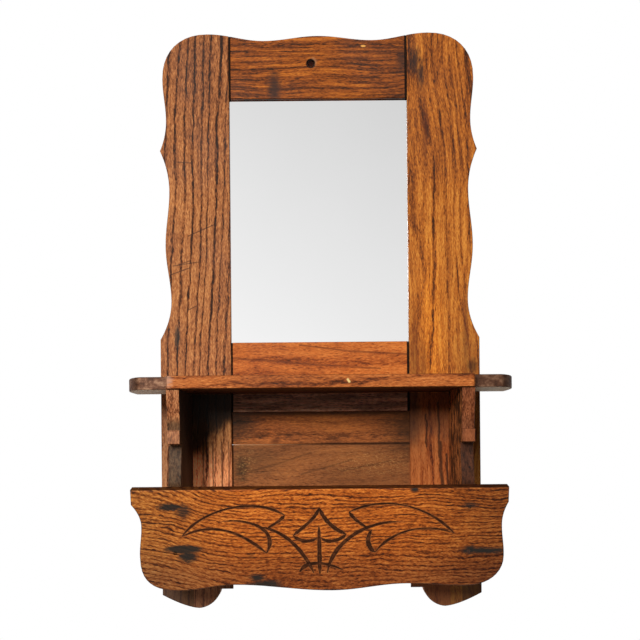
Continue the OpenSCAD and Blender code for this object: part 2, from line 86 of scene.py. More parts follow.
# A board's grain runs along the first of two axes, and the second lies across its face
ALONG_X, ALONG_Y, ALONG_Z = Vector((1, 0, 0)), Vector((0, 1, 0)), Vector((0, 0, 1))
UPRIGHT = (ALONG_Z, ALONG_X)
LYING = (ALONG_X, ALONG_Z)
SLANTED = (ALONG_X, UP_THE_FRONT)
# In millimetres: the frame's face, a side board's inner and outer side, the shelf's underside and front
# edge, and the opening in front of the glass, its lower left and its upper right
FACE = FACE_Y / MM
SIDE_IN, SIDE_OUT = BRACKET[0].x / MM, BRACKET[1].x / MM
SHELF_UNDER, SHELF_EDGE = SHELF[0].z / MM, -SHELF[0].y / MM
SIGHT = (
    Vector((LEFT_STILE[1].x, 0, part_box("middle_rail")[1].z)) / MM,
    Vector((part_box("right_stile")[0].x, 0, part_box("top_rail")[0].z)) / MM,
)
print("frame's face at", round(FACE, 1), "mm, shelf from", round(SHELF_UNDER, 1))

# %% [markdown]
# ## The camera
# The photograph looks straight at the piece from about 0.9 m, level with the shelf, and the picture is
# shifted upwards, so the uprights stay parallel. The piece hangs half a degree out of true.

# %% Camera
# In the photograph's pixels: its side, the row that is level with the eye, and the focal length
PHOTO_SIDE = 640
PHOTO_HORIZON = 440
PHOTO_FOCAL_LENGTH = 900
EYE_DISTANCE = 900 * MM
EYE = Vector((-0.9 * MM, FACE_Y - EYE_DISTANCE, -376.6 * MM))
HANGS_OUT = radians(-0.5)
camera_data = bpy.data.cameras.new("eye")
camera_data.sensor_width = 36
camera_data.lens = camera_data.sensor_width * PHOTO_FOCAL_LENGTH / PHOTO_SIDE
camera_data.shift_y = PHOTO_HORIZON / PHOTO_SIDE - 0.5
camera = bpy.data.objects.new("eye", camera_data)
level = Matrix.Translation(EYE) @ Matrix.Rotation(radians(90), 4, "X")
camera.matrix_world = level @ Matrix.Rotation(HANGS_OUT, 4, "Z")
scene.collection.objects.link(camera)
scene.camera = camera
scene.view_settings.view_transform = "Standard"
print("lens", camera_data.lens, "mm")

# %% [markdown]
# ## A short way to write shader nodes
# A finish is a chain of small sums. Each method of a Recipe adds a node or a few and returns the result,
# so that a material reads like a recipe: noise, then a ramp, then a mix.


# %% Recipe
def srgb(red, green, blue):
    """A colour as it looks on screen, from 0 to 255, turned into the linear one that nodes use."""
    shares = [c / 255 for c in (red, green, blue)]
    return tuple(c / 12.92 if c < 0.0405 else ((c + 0.055) / 1.055) ** 2.4 for c in shares) + (1,)


class Recipe:
    """A node tree. Every method adds a node or a few and returns the socket with the result."""

    def __init__(self, tree):
        self.tree = tree

    def add(self, kind, inputs, output=0, **settings):
        node = self.tree.nodes.new(kind)
        for key, value in settings.items():
            setattr(node, key, value)
        for key, value in inputs.items():
            self.plug(value, node.inputs[key])
        return node.outputs[output]

    def plug(self, value, socket):
        if isinstance(value, bpy.types.NodeSocket):
            self.tree.links.new(value, socket)
        else:
            socket.default_value = value

    def math(self, operation, a, b=0.0, c=0.0, clamp=False):
        return self.add("ShaderNodeMath", {0: a, 1: b, 2: c}, operation=operation, use_clamp=clamp)

    def times(self, first, *others):
        """All the values multiplied."""
        for other in others:
            first = self.math("MULTIPLY", first, other)
        return first

    def most(self, first, *others):
        """The largest of the values."""
        for other in others:
            first = self.math("MAXIMUM", first, other)
        return first

    def linear(self, value, slope, start):
        """Slope times the value, from a start."""
        return self.math("MULTIPLY_ADD", value, slope, start)

    def ease(self, value, low, high, at_low=0.0, at_high=1.0):
        """A smooth change from one result to another while value goes from low to high."""
        inputs = {0: value, 1: low, 2: high, 3: at_low, 4: at_high}
        return self.add("ShaderNodeMapRange", inputs, interpolation_type="SMOOTHSTEP")

    def fall(self, value, low, high, top=1.0):
        """A smooth fall to 0 while value goes from low to high."""
        return self.ease(value, low, high, top, 0.0)

    def past(self, value, edge, soft=0.5):
        """1 where value is past an edge."""
        return self.ease(value, edge - soft, edge + soft)

    def before(self, value, edge, soft=0.5):
        """1 where value hasn't come to an edge."""
        return self.fall(value, edge - soft, edge + soft)

    def between(self, value, low, high, soft):
        """1 where value lies between low and high, easing to 0 within soft outside them."""
        return self.times(self.ease(value, low - soft, low), self.fall(value, high, high + soft))

    def vector(self, operation, a, b=(0, 0, 0)):
        output = 1 if operation in ("LENGTH", "DISTANCE", "DOT_PRODUCT") else 0
        return self.add("ShaderNodeVectorMath", {0: a, 1: b}, output, operation=operation)

    def split(self, vector):
        node = self.tree.nodes.new("ShaderNodeSeparateXYZ")
        self.tree.links.new(vector, node.inputs[0])
        return node.outputs

    def join(self, x, y):
        return self.add("ShaderNodeCombineXYZ", {0: x, 1: y})

    def noise_along(self, value, detail):
        inputs = {"W": value, "Scale": 1.0, "Detail": detail}
        return self.add("ShaderNodeTexNoise", inputs, noise_dimensions="1D")

    def pushed(self, place, drift, reach):
        """A place pushed to and fro by a noise's colour, up to half of reach either way."""
        swing = self.vector("MULTIPLY", self.vector("SUBTRACT", drift, (0.5, 0.5, 0.5)), reach)
        return self.vector("ADD", place, swing)

    def mix(self, share, a, b, blend="MIX"):
        return self.add("ShaderNodeMix", {0: share, 6: a, 7: b}, 2, data_type="RGBA", blend_type=blend)

    def mix_shader(self, share, a, b):
        return self.add("ShaderNodeMixShader", {0: share, 1: a, 2: b})

    def ramp(self, value, stops):
        """Screen colours at stops from 0 to 1."""
        node = self.tree.nodes.new("ShaderNodeValToRGB")
        elements = node.color_ramp.elements
        while len(elements) < len(stops):
            elements.new(0.5)
        for element, (position, colour) in zip(elements, stops.items()):
            element.position = position
            element.color = srgb(*colour)
        self.tree.links.new(value, node.inputs[0])
        return node.outputs[0]


print("old oak is about", [round(c, 3) for c in srgb(158, 103, 66)[:3]])

# %% [markdown]
# ## Light
# A window stands to the left: a large soft lamp, low, which leaves the inner side of the left side board
# black. A weaker lamp hangs above the middle, and one behind keeps the back readable. The world is a
# dim dome for the boards and white for the eye, and the looking glass sees a white wall behind the camera.


# %% Lamps
def lamp(name, azimuth, height, size, level, colour=(1, 1, 1), distance=2.4):
    """A square soft lamp aimed at the piece, its size and distance in metres.

    level is the brightness that it gives a white card.
    """
    turn, lift = radians(azimuth), radians(height)
    towards = Vector((sin(turn) * cos(lift), -cos(turn) * cos(lift), sin(lift)))
    data = bpy.data.lights.new(name, "AREA")
    data.size = size
    data.color = colour
    data.energy = level * (pi * distance) ** 2
    made = bpy.data.objects.new(name, data)
    made.location = MIDDLE + towards * distance
    made.rotation_euler = (-towards).to_track_quat("-Z", "Y").to_euler()
    scene.collection.objects.link(made)


WARM = (1.0, 0.985, 0.95)
lamp("window", azimuth=-19, height=15, size=0.6, level=0.80, colour=WARM)
lamp("ceiling", azimuth=0, height=40, size=0.7, level=0.36, colour=WARM)
lamp("behind", azimuth=205, height=30, size=1.6, level=0.6)

# %% Dome
DOME_LEVEL = 0.08
ROOM_LEVEL = 0.5
WHITE = (1, 1, 1, 1)
WALL_HEIGHT = radians(13)
WALL_INNER, WALL_OUTER = radians(24), radians(60)
world = bpy.data.worlds.new("studio")
scene.world = world
world.use_nodes = True
sky = Recipe(world.node_tree)
camera_ray, glossy_ray, transmission_ray = (
    sky.add("ShaderNodeLightPath", {}, f"Is {ray} Ray") for ray in ("Camera", "Glossy", "Transmission")
)
dome = sky.add("ShaderNodeBackground", {"Color": (0.96, 0.98, 1.0, 1), "Strength": DOME_LEVEL})
white = sky.add("ShaderNodeBackground", {"Color": WHITE, "Strength": 1.0})
# What a glossy surface mirrors: a white wall behind the camera, and a dim room round it
direction = sky.add("ShaderNodeTexCoord", {}, "Generated")
from_wall = sky.vector("DOT_PRODUCT", direction, (0, -cos(WALL_HEIGHT), sin(WALL_HEIGHT)))
wall = sky.ease(from_wall, cos(WALL_OUTER), cos(WALL_INNER), ROOM_LEVEL, 1.0)
mirrored = sky.add("ShaderNodeBackground", {"Color": WHITE, "Strength": wall})
seen = sky.mix_shader(sky.most(camera_ray, transmission_ray), dome, white)
seen = sky.mix_shader(glossy_ray, seen, mirrored)
sky.plug(seen, sky.tree.nodes["World Output"].inputs["Surface"])
print("dome level", DOME_LEVEL)

# %% [markdown]
# ## Places and marks on a board
# Grain runs along a board, so each finish first turns Object coordinates into the board's own: along
# the grain, across it on the face and through the thickness, all in millimetres. Stains and scratches
# are blurred ellipses and lines in the same coordinates. Each is a mask, 1 inside and 0 outside, through
# which a colour is painted over the finish so far, as a restorer would tone a board.


# %% Finish
class Finish(Recipe):
    """A material's recipe. It knows the place on the board and keeps the colour so far."""

    def __init__(self, name, axes, origin=Vector((0, 0, 0))):
        self.material = bpy.data.materials.new(name)
        self.material.use_nodes = True
        super().__init__(self.material.node_tree)
        self.shader = self.tree.nodes["Principled BSDF"]
        turn = Matrix((*axes, axes[0].cross(axes[1])))
        self.place = self.add("ShaderNodeMapping", {
            "Vector": self.add("ShaderNodeTexCoord", {}, "Object"),
            "Location": -(turn @ origin) / MM,
            "Rotation": turn.to_euler(),
            "Scale": (1 / MM, 1 / MM, 1 / MM),
        })
        self.along, self.across, self.through = self.split(self.place)
        self.normal = self.add("ShaderNodeNewGeometry", {}, "Normal")

    def noise(self, scale, detail, roughness=0.5, output=0, place=None):
        """Noise at a place, stretched by three scales or one. Output 0 is its level and 1 its colour."""
        scale = scale if isinstance(scale, tuple) else (scale,) * 3
        stretched = self.vector("MULTIPLY", self.place if place is None else place, scale)
        inputs = {"Vector": stretched, "Scale": 1.0, "Detail": detail, "Roughness": roughness}
        return self.add("ShaderNodeTexNoise", inputs, output)

    def facing(self, *direction):
        """How squarely the surface faces a direction: 1 for straight at it."""
        return self.vector("DOT_PRODUCT", self.normal, direction)

    def spot(self, centre, size, soft=0.5, ragged=0.35, share=1.0):
        """A blurred patch round centre, size long and wide, with a ragged border."""
        away = self.vector("SUBTRACT", self.place, (*centre, 0))
        reach = self.vector("LENGTH", self.vector("MULTIPLY", away, (2 / size[0], 2 / size[1], 0)))
        frayed = self.noise((0.2, 0.7, 0.3), 3, 0.65)
        reach = self.linear(self.math("SUBTRACT", frayed, 0.5), ragged * 4, reach)
        return self.fall(reach, 1 - soft, 1 + soft, share)

    def wavering(self, reach):
        """The place pushed across the grain, to and fro up to reach, so that lines there waver."""
        return self.pushed(self.place, self.noise((0.05, 0.01, 0.01), 3, output=1), (0, 2 * reach, 0))

    def spots(self, *patches):
        return self.most(*(self.spot(*patch) for patch in patches))

    def line(self, start, end, width, place=None):
        """A thin line from start to end on the face."""
        start, end = Vector((*start, 0)), Vector((*end, 0))
        run = end - start
        away = self.vector("SUBTRACT", self.place if place is None else place, start)
        flat = self.vector("MULTIPLY", away, (1, 1, 0))
        share = self.math("DIVIDE", self.vector("DOT_PRODUCT", flat, run), run.length_squared, clamp=True)
        nearest = self.add("ShaderNodeVectorMath", {0: run, "Scale": share}, operation="SCALE")
        return self.fall(self.vector("DISTANCE", flat, nearest), width * 0.3, width)

    def lines(self, *strokes, place=None):
        return self.most(*(self.line(*stroke, place) for stroke in strokes))

    def paint(self, colour, *masks):
        """Lays a screen colour over the finish, as far as the product of the masks says."""
        self.colour = self.mix(self.times(*masks), self.colour, srgb(*colour))

    def dye(self, factors, *masks):
        """Multiplies the finish's red, green and blue, as far as the product of the masks says."""
        self.colour = self.mix(self.times(*masks), self.colour, (*factors, 1), "MULTIPLY")

    def bump(self, height, strength, depth):
        inputs = {"Height": height, "Strength": strength, "Distance": depth}
        self.plug(self.add("ShaderNodeBump", inputs), self.shader.inputs["Normal"])

    def done(self, roughness, shine=0.5, metallic=0.0):
        """Gives the shader the finish's colour and gloss, and returns the material."""
        surface = {"Roughness": roughness, "Specular IOR Level": shine, "Metallic": metallic}
        for name, value in {"Base Color": self.colour, **surface}.items():
            self.plug(value, self.shader.inputs[name])
        return self.material


print("a board's own axes:", UPRIGHT, LYING)

# %% [markdown]
# ## Oak
# Plain-sawn oak shows its rings as bands: in spring the tree grows wide pores, which the stain fills
# and turns almost black, and the summer wood between them stays clear. The rings are cylinders round the
# tree's pith, so the pattern is built in the round and cut by each board's faces: a pith far to the side
# gives straight lines, a near and tilted one gives arches, and end grain comes out by itself. Pores are
# noise stretched along the grain, kept only inside the spring bands. Old shellac on top is satin, and
# dust has made the faces that look up matt.


# %% Oak's look
OAK_LOOK = dict(
    # Screen colours from the pores to the clearest wood, and of the grime on the arrises
    pore=(44, 24, 14), dark=(96, 52, 27), body=(160, 96, 52), light=(208, 142, 88), edge=(46, 27, 17),
    # The rings' width and unevenness, the pith's place and tilt, and how the grain sways, ripples and bends
    ring=6.0, uneven=0.8, pith=(90, -60), tilt=(0.0, 0.0), sway=5.0, ripple=0.9, bend=None,
    # The spring bands' share of a ring, how whole they are, and how dark they, their pores and ticks are
    band=0.5, gaps=0.5, bands=0.36, pores=0.35, ticks=0.25,
    # How much fine specks, streaks and clouds vary the tone, the streaks' fineness, and the red tint
    grit=0.8, speck=0.9, streaks=0.4, fineness=1.0, blotches=0.3, hue=0.5,
    # The tone's middle, its rise for each millimetre along the board, and where in the tree the board lay;
    # on the stiles the rise is painted light, which brightens them towards the bottom
    base=0.66, rise=0.0, seed=(0, 0, 0),
    # The share of grime, and the shellac
    edge_share=0.6, shine=0.08, gloss=(0.42, 0.6),
)


# %% Oak's rings and pores
# How far neighbouring rings are apart in the noise that sets their strength, so that it differs
RING_STRIDE = 7.31


def spring_bands(wood, fibre, look):
    """The dark bands of spring wood: 1 inside and 0 between them.

    A band opens at once and closes slowly, no two are equally strong, and each has gaps.
    """
    along, across, through = wood.split(fibre)
    aside = [
        wood.math("SUBTRACT", value, wood.linear(along, tilt, pith))
        for value, tilt, pith in zip((across, through), look["tilt"], look["pith"])
    ]
    rings = wood.math("DIVIDE", wood.vector("LENGTH", wood.join(*aside)), look["ring"])
    wander = wood.noise_along(wood.times(rings, 0.45), 1)
    rings = wood.linear(wander, look["uneven"] * 2, rings)
    turn = wood.math("FRACT", rings)
    strength = wood.noise_along(wood.times(wood.math("FLOOR", rings), RING_STRIDE), 0)
    patchy = wood.noise((0.035, 0.22, 0.22), 3, 0.6, place=fibre)
    return wood.times(
        wood.ease(turn, 0.0, 0.3), wood.fall(turn, look["band"] * 0.4, look["band"]),
        wood.ease(strength, 0.25, 0.7, 0.5, 1.0), wood.ease(patchy, 0.32, 0.6, look["gaps"], 1.15),
    )


def oak_tone(wood, look):
    """The lightness of oak, from 0 in a pore to 1 in the clearest wood, and its pores, clouds and tint."""
    far = wood.vector("ADD", wood.place, look["seed"])
    slow = wood.noise((0.0065, 0.018, 0.018), 1, output=1, place=far)
    quick = wood.noise((0.045, 0.09, 0.09), 2, 0.55, output=1, place=far)
    fibre = wood.pushed(far, slow, (0, 4 * look["sway"], 4 * look["sway"]))
    fibre = wood.pushed(fibre, quick, (0, 4 * look["ripple"], 4 * look["ripple"]))
    if look["bend"]:
        fibre = wood.vector("ADD", fibre, look["bend"](wood))
    spring = spring_bands(wood, fibre, look)
    grit = wood.split(wood.noise((0.11, 0.6, 0.6), 3, 0.7, 1, fibre))
    fine = wood.split(wood.noise((0.28, 1.25, 1.25), 1, 0.6, 1, fibre))
    pore = wood.times(spring, wood.ease(grit[0], 0.44, 0.58))
    tick = wood.ease(wood.noise((0.17, 1.05, 1.05), 1, place=fibre), 0.60, 0.70)
    streak_scale = 0.16 * look["fineness"]
    streak = wood.noise((0.014, streak_scale, streak_scale), 4, 0.62, place=fibre)
    blotch = wood.noise((0.014, 0.022, 0.022), 2, place=far)
    tone = wood.linear(wood.along, look["rise"], look["base"])
    for noise, share in (
        (streak, 2 * look["streaks"]), (blotch, 2 * look["blotches"]), (grit[1], look["grit"]),
        (fine[0], look["speck"]),
    ):
        tone = wood.linear(wood.math("SUBTRACT", noise, 0.5), share, tone)
    for dark, share in ((spring, look["bands"]), (pore, look["pores"]), (tick, look["ticks"])):
        tone = wood.linear(dark, -share, tone)
    return tone, wood.most(pore, wood.times(tick, look["ticks"])), blotch, fine[1]


# %% Oak finish
def arris(wood):
    """1 on a rounded arris, and 0 on the flat faces beside it."""
    flattest = wood.most(*wood.split(wood.vector("ABSOLUTE", wood.normal)))
    return wood.fall(flattest, 0.72, 0.97)


def oak(name, axes, marks=None, front=None, origin=Vector((0, 0, 0)), **changes):
    """An oak finish for one board. marks(wood) may paint stains over the bare colour.

    front is how far in front of the wall plane, in millimetres, the marks start; they stay off the back.
    """
    look = {**OAK_LOOK, **changes}
    wood = Finish(name, axes, origin)
    tone, pore, blotch, tint = oak_tone(wood, look)
    bare = dict(zip((0.0, 0.3, 0.64, 1.0), (look["pore"], look["dark"], look["body"], look["light"])))
    wood.colour = wood.ramp(tone, bare)
    wood.dye((1.0, 0.84, 0.62), wood.ease(tint, 0.35, 0.65, 0, look["hue"]))
    if marks:
        clean = wood.colour
        marks(wood)
        if front:
            depth = wood.math("ABSOLUTE", wood.through)
            wood.colour = wood.mix(wood.ease(depth, front - 1, front), clean, wood.colour)
    wood.paint(look["edge"], arris(wood), look["edge_share"])
    wood.bump(wood.times(pore, -1.0), strength=0.35, depth=0.4 * MM)
    shine = wood.fall(wood.facing(0, 0, 1), 0.55, 0.85, look["shine"])
    return wood.done(wood.ease(blotch, 0.3, 0.7, *look["gloss"]), shine)


print("oak has", len(OAK_LOOK), "settings")

# %% [markdown]
# ## Worn arrises
# A hand plane leaves sharp arrises, and a century rounds them. Each board is copied from its packed
# solid, merged and cleaned of flat edges, and then only the edges that hands reach are bevelled, because
# a bevel inside a joint would open a gap that the real piece doesn't have.


# %% Edges
NEAR = 0.05 * MM


def solid(node):
    """A bmesh of a packed node, its points merged and its flat faces joined."""
    bm = bmesh.new()
    bm.from_mesh(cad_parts[node].data)
    bmesh.ops.remove_doubles(bm, verts=bm.verts, dist=0.002 * MM)
    bmesh.ops.dissolve_limit(bm, angle_limit=radians(0.6), verts=bm.verts, edges=bm.edges)
    return bm


def sharp(edge, least=35):
    return len(edge.link_faces) == 2 and edge.calc_face_angle(0) > radians(least)


def long_loops(edges, least=15 * MM):
    """Of some edges, those in chains at least that long, which leaves out the rims of small holes."""
    left, kept = set(edges), []
    while left:
        chain, queue = [], [left.pop()]
        while queue:
            edge = queue.pop()
            chain.append(edge)
            touching = {other for vert in edge.verts for other in vert.link_edges} & left
            left -= touching
            queue += touching
        points = [v.co for e in chain for v in e.verts]
        spans = [max(p[i] for p in points) - min(p[i] for p in points) for i in range(3)]
        if max(spans) > least:
            kept += chain
    return kept


def soften(bm, test, width, segments=3):
    """Rounds the sharp edges that pass a test of their two ends."""
    found = long_loops([e for e in bm.edges if sharp(e) and all(test(v.co) for v in e.verts)])
    bmesh.ops.bevel(
        bm, geom=found, offset=width, offset_type="OFFSET", affect="EDGES", segments=segments,
        profile=0.5, material=-1, clamp_overlap=True,
    )
    return len(found)


print("points nearer than", NEAR / MM, "mm lie on a face")


# %% Pieces
def as_object(name, bm, materials):
    mesh = bpy.data.meshes.new(name)
    bm.to_mesh(mesh)
    bm.free()
    for material in materials:
        mesh.materials.append(material)
    made = bpy.data.objects.new(name, mesh)
    scene.collection.objects.link(made)
    return made


def place_piece(name, bm, materials, replaces=(), smooth=40):
    """Makes the finished piece from its bmesh: smooth over its small angles, riding on the frame."""
    bm.normal_update()
    piece = as_object(name, bm, materials)
    piece.data.shade_smooth()
    piece.data.set_sharp_from_angle(angle=radians(smooth))
    piece.modifiers.new("even shading", "WEIGHTED_NORMAL").keep_sharp = True
    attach(piece, "root")
    if replaces:
        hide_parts(*replaces)


def dress(node, material, slot, *rounds, ending="_board"):
    """Finishes a board as it was packed. Each of rounds is a test of edges, a width and segments."""
    bm = solid(node)
    rounded = sum(soften(bm, *how) for how in rounds)
    place_piece(node + ending, bm, [material], [node])
    print(node, "rounded edges:", rounded)


def on_face(point, y=FACE_Y):
    return abs(point.y - y) < NEAR



# %% [markdown]
# ## The frame
# Two stiles and three rails. The left stile is rift-sawn: straight, strongly pored lines on a dull
# brown. The right one is plain-sawn from the middle of a tree, golden, with long arches. Under the
# shelf the left one carries a painted shadow and the right one painted shade and soot, and the feet of
# both are painted greyer and darker as the shade under the pocket front.


# %% Marks on both stiles
def under_shelf(wood, height):
    """1 below the shelf."""
    return wood.before(height, SHELF_UNDER - 0.5, 1)


# Painted shade: the feet are painted greyer and darker, as the shadow of the pocket front
def foot_shade(wood, share):
    wood.paint((66, 50, 42), wood.fall(wood.along, -525, -500, share))


print("the shelf's underside is at", round(SHELF_UNDER, 1), "mm")


# %% Left stile marks
def left_stile_marks(wood):
    """Scratches and a dark patch, and inside the pocket painted light and a painted shadow of the shelf and
    the side board.
    """
    up, right = wood.along, wood.across
    scratches = wood.lines(
        ((-171.5, -130.8), (-160.7, -105.7), 0.9), ((-210.3, -149.1), (-203.5, -130.1), 0.9),
        ((-201.3, -146.1), (-197.6, -121.0), 0.8), ((-201.4, -144.1), (-196.5, -130.0), 0.8),
        ((-245.5, -131.4), (-241.5, -123.4), 0.8), ((-97.4, -141.2), (-98.5, -127.2), 0.9),
    )
    wood.paint((62, 36, 26), scratches, 0.7)
    wood.paint((48, 42, 36), wood.spot((-273, -142.7), (24, 5.5)), 0.8)
    inside = wood.past(right, -SIDE_IN)
    # Painted light: inside the pocket the stile is brightened towards the bottom, most beside the side
    # board
    wood.dye((1.65, 1.5, 1.8), wood.fall(up, -410, -370), inside)
    wood.dye((1.7, 1.75, 1.85), wood.fall(up, -395, -375), inside, wood.fall(right, -110, -100))
    # Painted shadow of the shelf and side board; its edge runs down towards the side board, and a noise
    # frays it by up to 14 mm
    reach = wood.most(wood.linear(up, 1.2, 339), -134)
    ragged = wood.linear(wood.noise((0.04, 0.16, 0.16), 3), 28, -14)
    past = wood.math("ADD", wood.math("SUBTRACT", right, reach), ragged)
    wood.paint((22, 19, 15), wood.fall(past, -9, 9, 0.88), under_shelf(wood, up), inside)
    # Painted shade: a dark band just under the shelf
    wood.paint((34, 26, 20), wood.between(up, -350, -331, 12), inside, 0.6)
    streaks = wood.lines(*(
        ((-378, x), (-447, x + lean), width)
        for x, lean, width in (
            (-117.6, -0.4, 1.4), (-112.8, 0.8, 1.0), (-108.2, 0.6, 1.5), (-99.2, 0.5, 1.3),
            (-92.2, 0.2, 1.0),
        )
    ))
    wood.paint((56, 32, 24), streaks, 0.6)
    wood.dye((0.76, 0.82, 1.05), under_shelf(wood, up), wood.before(right, -SIDE_OUT))
    foot_shade(wood, 0.85)


print("the left stile's marks:", left_stile_marks.__doc__)


# %% Right stile marks
def right_stile_bend(wood):
    """The inner half of the arches leans towards the middle of the board from the top down."""
    lean = wood.times(wood.ease(wood.along, -140, 40, -15, 0), wood.ease(wood.across, 105, 150, 1, 0.45))
    return wood.join(0.0, lean)


def right_stile_marks(wood):
    """An iron stain beside the top joint, a dark shoulder, painted shade with soot and dirt under the
    shelf, and streaks there.
    """
    up, right = wood.along, wood.across
    stain = wood.spots(((2, 97), (26, 11), 0.7, 0.6), ((-10, 103), (26, 6), 0.7, 0.6))
    wood.paint((46, 31, 27), stain, 0.9)
    reddish = wood.spots(
        ((-296, 94), (70, 12), 0.9, 0.5), ((-304, 103), (50, 7), 0.9, 0.6),
        ((-70, 107), (50, 5), 0.9, 0.5), ((-262, 146), (60, 5), 0.9, 0.5),
    )
    wood.paint((92, 44, 26), reddish, 0.6)
    wood.dye((1.3, 1.28, 0.96), wood.spot((-256, 111), (120, 20), 0.9, 0.3))
    wood.paint((36, 24, 18), wood.spot((-304, 152), (14, 10), 0.6), 0.7)
    wood.paint((84, 50, 32), wood.spot((-300, 148), (70, 26), 0.8), 0.35)
    under = under_shelf(wood, up)
    inside = wood.times(under, wood.before(right, SIDE_IN))
    wood.dye((0.77, 0.62, 1.05), inside)
    # Painted shade and dirt on the strip outside the side board, under the shelf
    wood.paint((40, 24, 18), under, wood.past(right, SIDE_OUT), 0.55)
    # Painted shade and soot in a band under the shelf, its edges frayed by a noise
    shade_and_soot = wood.math("ADD", up, wood.linear(wood.noise((0.06, 0.16, 0.16), 3), 44, -22))
    soot = wood.times(wood.ease(shade_and_soot, -392, -358, 0, 0.5), wood.ease(shade_and_soot, -354, -340, 1, 0.3))
    wood.paint((76, 54, 42), inside, soot)
    wood.paint((60, 42, 32), inside, wood.fall(right, 92, 104, 0.6), wood.ease(up, -392, -372))
    streaks = wood.lines(
        ((-340, 117.5), (-395, 119.0), 1.6), ((-380, 120.0), (-450, 121.0), 2.6),
        ((-392, 126.5), (-450, 126.0), 1.8), ((-352, 105.0), (-384, 106.0), 1.3),
        place=wood.wavering(5),
    )
    wood.paint((34, 21, 16), streaks, 0.78)
    foot_shade(wood, 0.62)


print("the right stile's marks:", right_stile_marks.__doc__)

# %% [markdown]
# The rails lie. The top one carries the hanging hole, with a painted highlight on its rim and painted
# shade inside it, and a burnt smudge beside it. Each rail meets the stiles in a joint that dirt has turned
# into a black line.

# %% Rail marks
# In millimetres, to the right and up
HOLE_CENTRE = (-7, 0)


def joint_lines(wood, left, right):
    """Black dirt in a rail's two joints, that far in from each end."""
    ends = wood.most(
        wood.before(wood.along, SIGHT[0].x + left, 0.3), wood.past(wood.along, SIGHT[1].x - right, 0.3),
    )
    wood.paint((20, 12, 9), ends, 0.9)


def top_rail_marks(wood):
    """The smudge, a stain at the right joint, a chip, and a painted highlight on the hanging hole's rim and
    painted shade in the hole.
    """
    wood.paint((46, 32, 28), wood.spot((-43.5, -23), (12, 28), 0.75), 0.9)
    wood.paint((44, 28, 22), wood.spot((85, 3), (12, 22), 0.8), 0.8)
    wood.paint((222, 160, 78), wood.spot((45.9, 17), (4.4, 2), 0.4))
    # Painted highlight on the hole's upper right rim, where its wall catches the light
    wood.paint((164, 128, 96), wood.spot((-4.4, 1.2), (6, 8), 0.6, 0.1), 0.55)
    # Painted shade: the hole's wall and a ring round it are painted almost black
    wood.paint((20, 13, 10), wood.spot(HOLE_CENTRE, (9.6, 9.6), 0.12, 0.05), 0.92)
    joint_lines(wood, 1.9, 2.4)


def middle_rail_marks(wood):
    """Two dark lines that wander down to the right, and painted bounce light under the shelf: paler, bluer
    wood with dark clouds.
    """
    wandering = wood.lines(
        ((-86.9, -293.9), (-0.9, -301.6), 1.6), ((-0.9, -301.6), (60, -305.5), 1.3),
        ((-20.8, -281.4), (29.2, -287.9), 1.2), ((29.2, -287.9), (87.2, -291.4), 1.5),
    )
    wood.paint((92, 44, 24), wandering, 0.6)
    under = under_shelf(wood, wood.across)
    # Painted light: in the shelf's shadow the wood is made paler and bluer, as if lit by bounce light
    wood.dye((1.75, 3.0, 9.0), under)
    dark = wood.fall(wood.noise((0.03, 0.25, 0.25), 3, 0.6), 0.4, 0.6, 0.6)
    wood.paint((72, 48, 40), under, dark)
    joint_lines(wood, 1.4, 2.4)


print("the hanging hole is at", HOLE_CENTRE)

# %% [markdown]
# Each board gets an oak of its own, since no two came from the same place in the tree, and then its
# outer arrises are rounded. The rabbets behind stay sharp, because no hand reaches them.

# %% Frame boards
# The marks cover the face and 4 mm of the edges, and stay off the back
FRAME_MARKS = -FACE - 4
RABBET_X = abs(LEFT_STILE[1].x) + 7 * MM


def outer_back(point):
    """On the wall side, but not in the rabbet."""
    return on_face(point, 0) and abs(point.x) > RABBET_X


# The stiles' rise is painted light: they grow brighter towards the bottom
FRAME_OAK = {
    "left_stile": oak(
        "oak_left_stile", UPRIGHT, left_stile_marks, FRAME_MARKS,
        pore=(42, 25, 16), dark=(98, 54, 29), body=(164, 102, 59), light=(212, 148, 91),
        ring=7.0, uneven=0.35, pith=(-205, -70), tilt=(0.04, 0.0), sway=3.0, band=0.45, gaps=0.6,
        bands=0.6, pores=0.6, ticks=0.15, speck=1.0, fineness=2.0, base=0.53, rise=-0.0006,
        seed=(310, 17, 5),
    ),
    "right_stile": oak(
        "oak_right_stile", UPRIGHT, right_stile_marks, FRAME_MARKS,
        pore=(56, 29, 13), dark=(116, 60, 23), body=(177, 102, 38), light=(218, 144, 61),
        ring=8.0, uneven=0.9, pith=(60, -50), tilt=(-0.05, 0.02), sway=6.0, ripple=0.5,
        bend=right_stile_bend, gaps=0.3, bands=0.34, pores=0.4, ticks=0.3, grit=0.6, streaks=0.7,
        fineness=1.7, blotches=0.2, base=0.525, rise=-0.0008, seed=(75, 3, 40),
    ),
    "top_rail": oak(
        "oak_top_rail", LYING, top_rail_marks, FRAME_MARKS,
        pore=(46, 24, 10), dark=(94, 46, 16), body=(150, 79, 26), light=(192, 112, 38),
        ring=5.6, uneven=0.9, pith=(-150, -80), sway=4.0, ripple=0.5, gaps=0.2, bands=0.24, ticks=0.35,
        grit=0.5, speck=0.8, streaks=1.0, fineness=2.2, base=0.51, seed=(-60, 120, 9),
    ),
    "middle_rail": oak(
        "oak_middle_rail", LYING, middle_rail_marks, FRAME_MARKS,
        pore=(84, 42, 20), dark=(134, 66, 30), body=(188, 104, 46), light=(216, 132, 64),
        ring=15, pith=(-420, -90), sway=3.0, ripple=0.8, bands=0.15, pores=0.3, ticks=0.3,
        seed=(20, 60, 70),
    ),
    "bottom_rail": oak(
        "oak_bottom_rail", LYING,
        body=(100, 62, 38), light=(130, 86, 54), ring=5.5, pith=(-600, -60), seed=(200, 0, 33),
    ),
}
